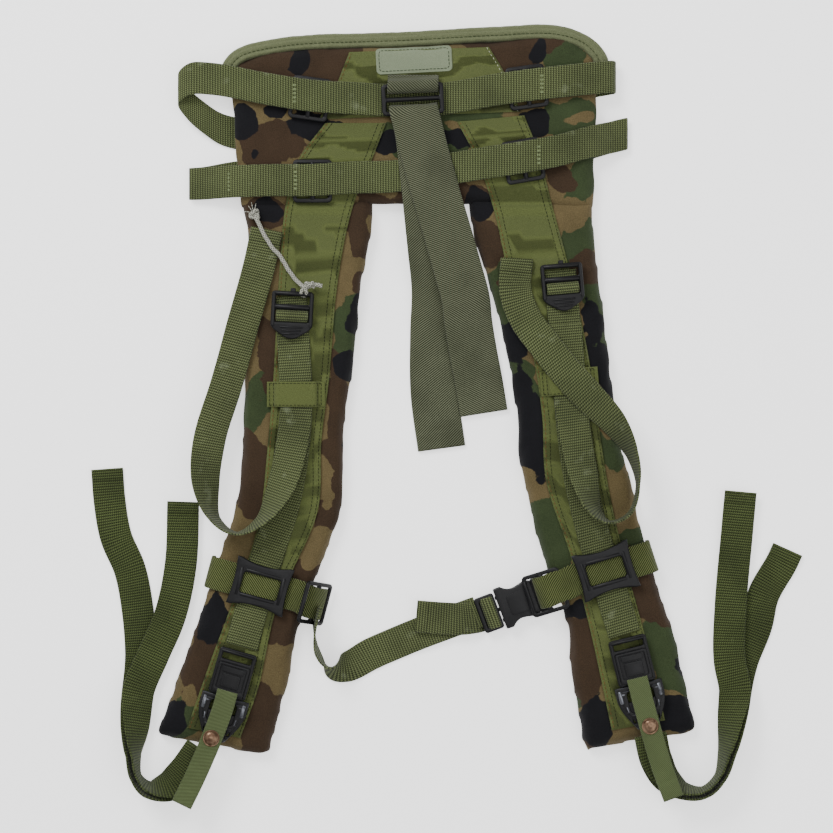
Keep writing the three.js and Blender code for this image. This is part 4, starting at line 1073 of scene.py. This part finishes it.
def make_cross_straps():
    strap("upper_cross_webbing", ROOT, UPPER_CROSS, LEVEL, "webbing", "upper_cross_strap", seed=1, rests_on=[yoke.name], shear=True)
    strap("lower_cross_webbing", ROOT, LOWER_CROSS, LEVEL, "webbing", "lower_cross_strap", seed=2, rests_on=[yoke.name], shear=True)
    twill = dict(relief=0.0, step=1.5)
    strap("anchor_webbing", ROOT, ANCHOR, [(-1, -0.05, 0)], "twill_strap", "anchor_loop", width=40, seed=3, **twill)
    strap("centre_webbing", ROOT, CENTRE, CENTRE_ACROSS, "twill_strap", "centre_strap", width=38, seed=4, slot="twill_strap",
          hems=(14, 16), **twill)


def make_pad_straps():
    strap("left_load_strap", ROOT, LEFT_LOAD, [(1, 0, 0)], "webbing", "left_load_webbing", seed=5, rests_on=[left_pad.name])
    strap("right_load_strap", ROOT, RIGHT_LOAD, [(1, 0, 0)], "webbing", "right_load_webbing", seed=6, rests_on=[right_pad.name])
    strap("left_tail_strap", ROOT, LEFT_TAIL, LEFT_TAIL_ACROSS, "webbing", "left_loose_tail", seed=7, hems=(0, 10),
          rests_on=[left_pad.name])
    strap("right_tail_strap", ROOT, RIGHT_TAIL, RIGHT_TAIL_ACROSS, "webbing", "right_loose_tail", seed=8, hems=(0, 10),
          rests_on=[right_pad.name])


def make_lower_legs():
    legs = (("left_outer_leg", LEFT_OUTER_LEG, 0), ("left_inner_leg", LEFT_INNER_LEG, 3 * THICK),
            ("right_outer_leg", RIGHT_OUTER_LEG, 0), ("right_inner_leg", RIGHT_INNER_LEG, 3 * THICK))
    for k, (node, points, lift) in enumerate(legs):
        body = node.split("_")[0] + "_lower"
        strap(node + "_strap", body, points, standing(points), "dark_webbing", node, slot="dark_webbing", lift=lift,
              seed=10 + k, hems=(0, 9))


def bar_tack(points, across, x, passes=5):
    """A short block of close stitches across the upper face of a cross strap where it crosses x."""
    centre, side, up, _ = ribbon_frames(points, across, 12, shear=True)
    gap = np.abs(centre[:, 0] - x) + np.where((centre[:, 2] > 13) & (up[:, 2] > 0.5), 0, 1000)
    k = int(gap.argmin())
    lines = []
    for j in range(passes):
        row = centre[k] + up[k] * (THICK / 2 + 0.15) + np.array((j * 0.55, 0, 0))
        lines.append((np.array([row + side[k] * y for y in np.linspace(-8, 8, 12)]), np.array([up[k]] * 12)))
    return lines


def sew_cross_straps():
    lines = []
    for points, places in ((UPPER_CROSS, (-121, 73)), (LOWER_CROSS, (-182, -121, 72))):
        for x in places:
            lines += bar_tack(points, LEVEL, x)
    seams_piece("strap_tacks", ROOT, materials["tack_thread"], lines, 0.22, 2.0, 1.2)


panel, facings, label, top_surface = make_panels()
make_binding()
sew_panels(top_surface)
make_cross_straps()
sew_cross_straps()
make_pad_straps()
make_lower_legs()


# ---- hardware ----------------------------------------------------------------------------------

def local(points, place):
    """Points in a part's own plane, set at place = (x, y, z, degrees)."""
    x, y, z, degrees = place
    return [tuple(p) for p in turned((np.array(points, float), ()), x, y, z, degrees)[0]]


def local_across(vectors, degrees):
    return [tuple(v) for v in turned((np.array(vectors, float), ()), degrees=degrees)[0]]


def triglide_parts(tilt=0.0, offset=(0, 0, 0)):
    window = (31 - 3 * BAR) / 2
    holes = [rounded(window, 34 - 2 * BAR, 1.2, sign * (window + BAR) / 2, 0) for sign in (-1, 1)]
    parts = [moulding(rounded(31, 34, 3.5), holes, 0, 2.6, 0.8),
             rod((0, -15, 1.9), (0, 15, 1.9), 1.9, 0.8),
             rod((-13.8, -13, 1.5), (-13.8, 13, 1.5), 1.6, 0.9),
             rod((13.8, -13, 1.5), (13.8, 13, 1.5), 1.6, 0.9)]
    return [turned(part, *offset, tilt=tilt) for part in parts]


def make_slides():
    plastic = materials["black_plastic"]
    low = HARD_Z - THICK
    for name, x, y, degrees in (("upper_left_triglide", -108, 250, -8), ("upper_right_triglide", 63, 259, 8),
                                ("lower_left_triglide", -106, 185, 0), ("lower_right_triglide", 60, 201, 10)):
        hardware(name + "_slide", ROOT, plastic, triglide_parts(), (x, y, low, degrees), name)
    holes = [rounded(42, 7.6, 1, 0, sign * 5.4) for sign in (-1, 1)]
    frame_parts = [moulding(rounded(49, 24.8, 3.5), holes, 0, BAR, 0.9),
                   rod((-21, 0, 1.9), (21, 0, 1.9), 1.9, 1.0), rod((-21, -10.8, 1.7), (21, -10.8, 1.7), 1.8, 1.0),
                   rod((-21, 10.8, 1.7), (21, 10.8, 1.7), 1.8, 1.0)]
    hardware("centre_slide_frame", ROOT, plastic, frame_parts, (-27, 249, SLIDE_Z, 3), "centre_slide")
    hardware("left_sternum_slide", ROOT, plastic, triglide_parts(52, (-6, 0, 6)), (-99.5, -149, 9.6, -15), "left_triglide")
    hardware("right_sternum_slide", ROOT, plastic, triglide_parts(-11), (78, -139, 14.8, 18), "right_triglide")


def lock_outline(grow=0.0):
    half = 16.5 + grow
    top, low = 18 + grow, grow
    return ([(-half + 3, top), (half - 3, top)] + quadratic((half - 3, top), (half, top), (half, 15 + grow), 5)
            + [(half, -9)] + quadratic((half, -9), (half - 2, -13 - low), (half - 8, -16 - low), 6)
            + quadratic((half - 8, -16 - low), (0, -23 - low), (-half + 8, -16 - low), 12)
            + quadratic((-half + 8, -16 - low), (-half + 2, -13 - low), (-half, -9), 6) + [(-half, 15 + grow)]
            + quadratic((-half, 15 + grow), (-half, top), (-half + 3, top), 5))


LOCKS = {"left": (-122, 80, HARD_Z, -3), "right": (91, 102, HARD_Z, 5)}
KEEPERS = {"left": (-119, 17, 0, 0), "right": (96.5, 27, 0, 5)}
SLIDERS = {"left": (-147, -134, HARD_Z, -15), "right": (125, -122, HARD_Z, 17)}
RELEASES = {"left": (-163.5, -185, HARD_Z, -16), "right": (141, -174.5, HARD_Z, 14)}


def make_ladder_locks():
    plastic = materials["black_plastic"]
    for side, place in LOCKS.items():
        windows = [rounded(26.6, 6.6, 1, 0, 11), rounded(26.6, 10, 1, 0, -1.4)]
        parts = [moulding(lock_outline(), windows, 0, 4, 0.9),
                 rod((-14, 5.4, 3.0), (14, 5.4, 3.0), 1.9, 0.9), rod((-14, 16, 3.0), (14, 16, 3.0), 1.7, 0.9)]
        parts += [moulding(rounded(2.4, 27, 1.1, x, 3.5), (), 3.4, 1.6, 0.5) for x in (-14.9, 14.9)]
        parts += [rod((-9 + k, -10.4 - 2.6 * k, 3.9), (9 - k, -10.4 - 2.6 * k, 3.9), 0.75, 0.9) for k in range(3)]
        parts.append(moulding(rounded(4, 3, 0.8, 0, 19), (), 0.6, 3, 0.6))
        hardware(f"{side}_ladder_lock_frame", f"{side}_lock", plastic, parts, place, f"{side}_ladder_lock")
        wrap = local([(0, -6.3, 0.4), (0, -5.4, 2.2), (0, -3.6, 3.8), (0, -1.4, 4.5), (0, 0.8, 3.8), (0, 2.6, 2.2),
                      (0, 3.4, 0.4)], place)
        strap(f"{side}_lock_webbing", f"{side}_lock", wrap, local_across([(1, 0, 0)], place[3]), "webbing",
              f"{side}_lock_wrap", thick=1.2, seed=30, relief=0.12, held="folded")


def make_keepers():
    low = SHEET_Z + 1 + 0.3 + 0.5
    high = THIRD_Z - THICK / 2 + 0.5
    shape = [(-23, 0, low), (-18, 0, low), (-15.4, 0, high - 0.6), (-12, 0, high), (12, 0, high), (15.4, 0, high - 0.6),
             (18, 0, low), (23, 0, low)]
    lines = []
    for side, place in KEEPERS.items():
        points, across = local(shape, place), local_across([(0, 1, 0)], place[3])
        strap(f"{side}_keeper_cloth", ROOT, points, across, "olive_cloth", f"{side}_keeper", width=20, thick=1,
              slot="olive_cloth", seed=40, relief=0, step=1, held="stretched", per=8)
        for d in (2, 6, 42, 46):
            lines.append(ribbon_cross(points, across, d, 20, thick=1, inset=1))
        for x in (-8.6, 8.6):
            lines.append(ribbon_line(points, across, x, 1, 48, thick=1))
    seams_piece("keeper_seams", ROOT, materials["dark_thread"], lines, 0.26, 2.2, 0.8)


def slider_outline():
    half, top = 23, 19
    return ([(-half, top), (-half + 3.5, top)] + quadratic((-half + 3.5, top), (0, top - 6.5), (half - 3.5, top), 16)
            + [(half, top), (half - 0.4, top - 3)] + quadratic((half - 0.4, top - 3), (half - 2.6, 0), (half - 0.4, 3 - top), 10)
            + [(half, -top), (half - 3.5, -top)] + quadratic((half - 3.5, -top), (0, 6.5 - top), (-half + 3.5, -top), 16)
            + [(-half, -top), (-half + 0.4, 3 - top)]
            + quadratic((-half + 0.4, 3 - top), (-half + 2.6, 0), (-half + 0.4, top - 3), 10))


def make_sliders():
    plastic = materials["black_plastic"]
    for side, place in SLIDERS.items():
        parts = [moulding(slider_outline(), [rounded(30, 16.5, 2)], 0, 3.6, 1.0)]
        parts += [rod((-14, y, 3.0), (14, y, 3.0), 1.6, 0.7) for y in (-9.8, 9.8)]
        parts += [rod((x, -11, 3.0), (x, 11, 3.0), 1.5, 0.7) for x in (-17, 17)]
        hardware(f"{side}_slider_frame", f"{side}_slider", plastic, parts, place, f"{side}_sternum_slider")


BUCKLE = (56, -148, 5.1, 20.5)


def along_slider(side, values):
    """Points (along, across, height) in a slider's own plane, height measured from the floor."""
    x, y, _, degrees = SLIDERS[side]
    return local(values, (x, y, 0, degrees))


def make_sternum_straps():
    run = [(-41, 0, 2.5), (-43, 0, 7), (-41.5, 0, 12), (-36, 0, 15.6), (-24, 0, 16.4), (-18.5, 0, 16.4), (-12, 0, 18.1),
           (0, 0, 18.3), (12, 0, 18.1), (18.5, 0, 16.4), (25, 0, 17.0), (32, 0, 20.6), (37, -1, 22.4), (43, -2, 20.0), (49, -2, 13.5),
           (52, -2, 8.0)]
    left = along_slider("left", run)
    sag = local_across([(0, 1, 0)], -15)
    obj = ribbon("left_sternum_strap", left, sag, materials["herringbone"], seed=21, relief=0.0, step=1.2)
    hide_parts("left_sternum_band", "left_sternum_lead")
    laid(obj)
    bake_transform(obj)
    run = [(38, 0, 2.5), (40, 0, 7), (38.5, 0, 12), (34, 0, 15.4), (24, 0, 16.4), (18.5, 0, 16.4), (12, 0, 18.1), (0, 0, 18.3),
           (-12, 0, 18.1), (-18.5, 0, 16.4), (-26, 0, 17.4), (-33, -1, 19.0), (-42, -1, 20.4), (-50, -2, 19.8), (-55.5, -2, 15),
           (-57, -2, 10.5), (-55, -2, 7)]
    right = along_slider("right", run)
    obj = ribbon("right_sternum_strap", right, local_across([(0, 1, 0)], 18), materials["herringbone"], seed=22, relief=0.0,
                 step=1.2)
    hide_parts("right_sternum_band", "right_sternum_lead")
    laid(obj)
    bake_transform(obj)
    obj = ribbon("sternum_slack_strap", SLACK, SLACK_ACROSS, materials["webbing"], seed=23)
    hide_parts("sternum_webbing", "plug_webbing")
    laid(obj)
    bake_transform(obj)
    tail = local([(-18.6, 0, -2.6), (-18.2, 0, 1.6), (-20, 0, 3.4), (-23.4, 0, 3.9), (-26.6, 0, 2.2), (-28.6, 0, -1.6),
                  (-32, 0, -3.3), (-37, 1, -0.4), (-46, 3.4, 1.5), (-62, 10, 1.4), (-79, 18, 1.2)], BUCKLE)
    strap("plug_tail_strap", "plug", tail, [(0.35, -0.94, 0)] * 8 + [(0.3, -0.95, 0)] * 2 + [(0.2, -1, 0)], "webbing",
          "plug_tail", seed=24, hems=(0, 9))




def make_side_release():
    plastic = materials["black_plastic"]
    half = 16.5
    shell = ([(-15, -half + 1), (-15, half - 1)] + quadratic((-15, half - 1), (-15, half), (-13, half), 4) + [(-9, half)]
             + quadratic((-9, half), (-5, half - 4.4), (0, half - 4.2), 8) + quadratic((0, half - 4.2), (5, half - 3.6), (9, half - 2.2), 8)
             + [(13.5, half - 3)] + quadratic((13.5, half - 3), (15, half - 3), (15, half - 5), 4)
             + quadratic((15, 5 - half), (15, 3 - half), (13.5, 3 - half), 4) + [(9, 2.2 - half)]
             + quadratic((9, 2.2 - half), (5, 3.6 - half), (0, 4.2 - half), 8)
             + quadratic((0, 4.2 - half), (-5, 4.4 - half), (-9, -half), 8) + [(-13, -half)]
             + quadratic((-13, -half), (-15, -half), (-15, -half + 1), 4))
    rail = [(-14.8, half - 2.2), (-14.8, half - 0.6), (-10, half - 0.6), (-8.5, half - 2.2)]
    parts = [moulding(shell, (), 3.2, 1.8, 0.8), moulding(shell, (), -5, 1.8, 0.8)]
    for sign in (-1, 1):
        side = [(x, sign * y) for x, y in rail][::sign]
        parts.append(moulding(side, (), -4.6, 9.2, 0.4))
        parts.append(moulding(rounded(9, 2.4, 0.8, 9.6, sign * (half - 4.6)), (), -4.6, 9.2, 0.5))
    parts.append(moulding(rounded(2.2, 2 * half - 9, 0.8, 13.6, 0), (), -4.6, 9.2, 0.5))
    parts.append(moulding(rounded(17, 17, 3, 1, 0), (), 4.7, 0.7, 0.3))
    hardware("buckle_socket_shell", ROOT, plastic, parts, BUCKLE, "buckle_socket")
    bar = [moulding(rounded(11, 28, 2.5, 19.7, 0), [rounded(4.2, 21, 1, 19.4, 0)], -2, 4, 0.9),
           rod((23.6, -12, 0.4), (23.6, 12, 0.4), 1.9)]
    hardware("buckle_socket_loop", ROOT, plastic, bar, BUCKLE, "buckle_socket_bar")
    plug = [moulding(rounded(16, 29, 2.2, -24, 0), [rounded(4.4, 22, 1, -26.5, 0), rounded(2.6, 22, 0.8, -20.6, 0)], -2.5, 5, 0.9),
            rod((-30.2, -12.5, 0.2), (-30.2, 12.5, 0.2), 2.2), rod((-23.2, -12.5, 0.6), (-23.2, 12.5, 0.6), 1.7),
            moulding(rounded(19, 3, 1, -7.5, 0), (), -1.3, 2.6, 0.6)]
    hardware("buckle_plug_frame", "plug", plastic, plug, BUCKLE, "buckle_plug")
    for sign, name in ((1, "upper_prong"), (-1, "lower_prong")):
        shape = [(0, 0), (19.5, 0)] + quadratic((19.5, 0), (22.5, 0.6), (22.2, 2.2), 5) + quadratic((22.2, 2.2), (21, 4.4), (17, 4.4), 5)
        shape += [(14.4, 2.8), (0, 2.6)]
        shape = [(x - 15.7, sign * (y + 8)) for x, y in shape][::sign]
        hardware(name + "_arm", name, plastic, [moulding(shape, (), -2.2, 4.4, 0.7)], BUCKLE, name)


def release_body_outline(shrink=0.0):
    half = 19 - shrink
    low, high = -73 + shrink, -37.5 - shrink
    side = [(half, high), (half, -48)] + quadratic((half, -48), (half - 1, -56), (half - 5, -62.5), 6)
    side += quadratic((half - 5, -62.5), (half - 8, -68), (half - 10.5, low + 1), 6) + [(half - 12, low)]
    return side + [(-x, y) for x, y in side[::-1]]


def make_quick_releases():
    plastic, steel = materials["black_plastic"], materials["steel"]
    tapes = {"left": [(0, -32, 0), (0, -48, 0), (-2, -76, 0.5), (-6, -104, 2), (-10, -127, 4)],
             "right": [(0, -32, 0), (0, -48, 0), (1, -76, 0.5), (2, -104, 2), (5, -130, 4)]}
    for side, place in RELEASES.items():
        outline = rounded(30, 37, 2.5, 0, -18.5)
        parts = [moulding(outline, [rounded(23.6, 5, 1, 0, -6), rounded(23.6, 20, 1.5, 0, -22)], 0, 4, 0.8)]
        parts += [moulding(rounded(1.8, 33, 0.8, x, -19), (), 3.6, 1.2, 0.4) for x in (-13.4, 13.4)]
        parts += [rod((-13.4, -2.4, 3.9), (13.4, -2.4, 3.9), 1.3, 0.9)]
        hardware(f"{side}_release_upper", ROOT, plastic, parts, place,
                 f"{side}_release_frame")
        rim = moulding(rounded(25, 24, 2, 0, -23), [rounded(20.6, 18.4, 1, 0, -22)], 4.3, 2.4, 0.5)
        parts = [moulding(rounded(24, 23, 1.5, 0, -23), (), 4.3, 1.2, 0.4), rim,
                 moulding(rounded(17, 4.6, 0.8, 0, -15.8), (), 5.2, 1.5, 0.4),
                 moulding(rounded(14.5, 11, 1, 0, -24.6), (), 5.2, 1.3, 0.5),
                 moulding(rounded(11.5, 8, 0.6, 0, -24.6), (), 6.2, 0.5, 0.2),
                 rod((-9, -33.8, 6.0), (9, -33.8, 6.0), 1.3, 0.9)]
        hardware(f"{side}_latch_plate", f"{side}_latch", plastic, parts, place, f"{side}_release_latch")
        slot = rounded(20.4, 4, 1, 0, -65)
        parts = [moulding(release_body_outline(), [slot, rounded(22, 9, 2, 0, -45.5)], 0, 3.4, 0.9),
                 moulding(release_body_outline(3.2), [rounded(21, 17, 3, 0, -50), rounded(15, 4, 1, 0, -65)], 2.4, 2.0, 0.7),
                 rod((-11, -61.2, 3.6), (11, -61.2, 3.6), 1.5, 0.9), rod((-8.5, -70, 3.2), (8.5, -70, 3.2), 1.6, 0.9)]
        hardware(f"{side}_release_lower", f"{side}_lower", plastic, parts, place, f"{side}_release_body")
        parts = []
        for sign in (-1, 1):
            parts += [rod((sign * 15.6, -40, 3.6), (sign * 15.6, -50, 3.8), 1.7, 0.8),
                      rod((sign * 11.2, -43, 3.2), (sign * 17.0, -43, 3.4), 1.5, 0.8),
                      rod((sign * 12.8, -52.5, 3.4), (sign * 12.2, -58, 3.4), 1.3, 0.8)]
        metal = hardware(f"{side}_release_pins", f"{side}_lower", steel, parts, place, slot="snap_metal")
        z = 7.5
        points = local([(x, y, z + rise) for x, y, rise in tapes[side]], place)
        strap(f"{side}_tape", f"{side}_latch", points, local_across([(1, 0, 0)], place[3]), "tape", f"{side}_pull_tape",
              width=16.5, thick=1.3, slot="twill_strap", seed=50, relief=0, step=1.5, hems=(0, 12), wobble=0.5, held="laid")
        make_snap(side, place, (tapes[side][2][0], tapes[side][2][1] + 5, z + 1.2))


def make_snap(side, place, centre):
    """A domed press-stud cap with a rolled rim."""
    profile = [(0.01, 3.1), (1.6, 3.0), (2.4, 2.5), (2.9, 2.55), (4.2, 2.2), (5.2, 1.4), (5.5, 0.7), (6.2, 0.9), (6.6, 0.5),
               (6.5, 0.0), (0.01, -0.1)]
    sides = 40
    rings = [[(centre[0] + r * math.cos(2 * math.pi * k / sides), centre[1] + r * math.sin(2 * math.pi * k / sides),
               centre[2] + h) for k in range(sides)] for r, h in profile]
    points = np.array(rings).reshape(-1, 3)
    faces = [(i * sides + k, i * sides + (k + 1) % sides, i * sides + sides + (k + 1) % sides, i * sides + sides + k)
             for i in range(len(profile) - 1) for k in range(sides)]
    faces += [tuple(range(sides)), tuple(range(len(points) - sides, len(points)))[::-1]]
    hardware(f"{side}_snap_dome", f"{side}_latch", materials["snap_metal"], [(points, faces)], place, f"{side}_snap_cap",
             slot="snap_metal")


make_slides()
make_ladder_locks()
make_keepers()
make_sliders()
make_sternum_straps()
make_side_release()
make_quick_releases()


# ---- pull cord ---------------------------------------------------------------------------------

CORD = [
    (-98, 102, 23.4), (-106, 103, 23.6), (-112, 101.5, 23.2), (-117.5, 105.5, 22.4), (-124, 114, 21.6), (-131, 125, 20.6),
    (-140, 136, 20.4), (-147, 149, 20.0), (-152, 160, 17.8),
]


def tube(name, path, radius, material, sides=12, taper=1.0, closed=False):
    """A round cord along close points, with UV along and around it in metres. Millimetres in."""
    path = np.asarray(path, float)
    along = unit(np.gradient(path, axis=0))
    side = unit(np.cross(along, (0.02, 0.01, 1.0)))
    up = np.cross(along, side)
    distance = np.concatenate([[0], np.cumsum(np.linalg.norm(np.diff(path, axis=0), axis=1))])
    rings, uv = [], []
    for i in range(len(path)):
        r = radius * (1 + (taper - 1) * i / (len(path) - 1))
        turns = 2 * math.pi * np.arange(sides) / sides
        rings.append((path[i] + np.outer(np.cos(turns), side[i]) * r + np.outer(np.sin(turns), up[i]) * r + SHIFT) * MM)
        uv.append([(distance[i] * MM, 2 * math.pi * radius * k / sides * MM) for k in range(sides)])
    return loft(name, rings, material, uv)


def make_cord():
    braid = materials["cord_braid"]
    path = resample(smooth(CORD, 12), 0.8)
    sway = np.array([[noise.noise(Vector((i / 9, 2, 3))) * 0.5, noise.noise(Vector((i / 9, 7, 3))) * 0.5, 0] for i in range(len(path))])
    sway[:3] = 0
    path = path + sway
    cord = tube("pull_cord_braid", path, 1.7, braid)
    piece(cord, "harness", "pull_cord", slot="cord_braid")
    pieces = []
    for name, centre, size, lean in (("cord_end_knot", path[-3], 1.25, 0.4), ("cord_bar_knot", path[12], 1.2, 1.3)):
        turns = np.linspace(0, 2 * math.pi, 90)
        knot = np.stack([np.sin(turns) + 2 * np.sin(2 * turns), np.cos(turns) - 2 * np.cos(2 * turns), -1.1 * np.sin(3 * turns)], 1)
        knot = knot @ np.array(Matrix.Rotation(lean, 3, "X") @ Matrix.Rotation(0.7, 3, "Z")).T
        pieces.append(tube(name, knot * size + centre, 1.35, braid))
    end = path[-1]
    for k, (dx, dy, dz) in enumerate(((-4.5, 5.5, -0.8), (1.5, 7.5, -0.6), (-7.5, 1.0, -0.8), (-2.0, 8.0, 0.2))):
        strand = smooth([end - (0, 2, 0), end + (dx * 0.5, dy * 0.4, 0.5), end + (dx, dy, dz)], 10)
        pieces.append(tube(f"cord_strand_{k}", strand, 0.55, braid, sides=7, taper=0.5))
    loop = smooth([(-113, 100, 22.6), (-114.6, 97.2, 21.6), (-113.6, 94.6, 18.6), (-111.4, 94.8, 19.4), (-110.6, 98.0, 22.6),
                   (-112.6, 101, 23.4)], 10)
    pieces.append(tube("cord_bar_loop", loop, 1.5, braid))
    for obj in pieces:
        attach(obj, "harness")


make_cord()
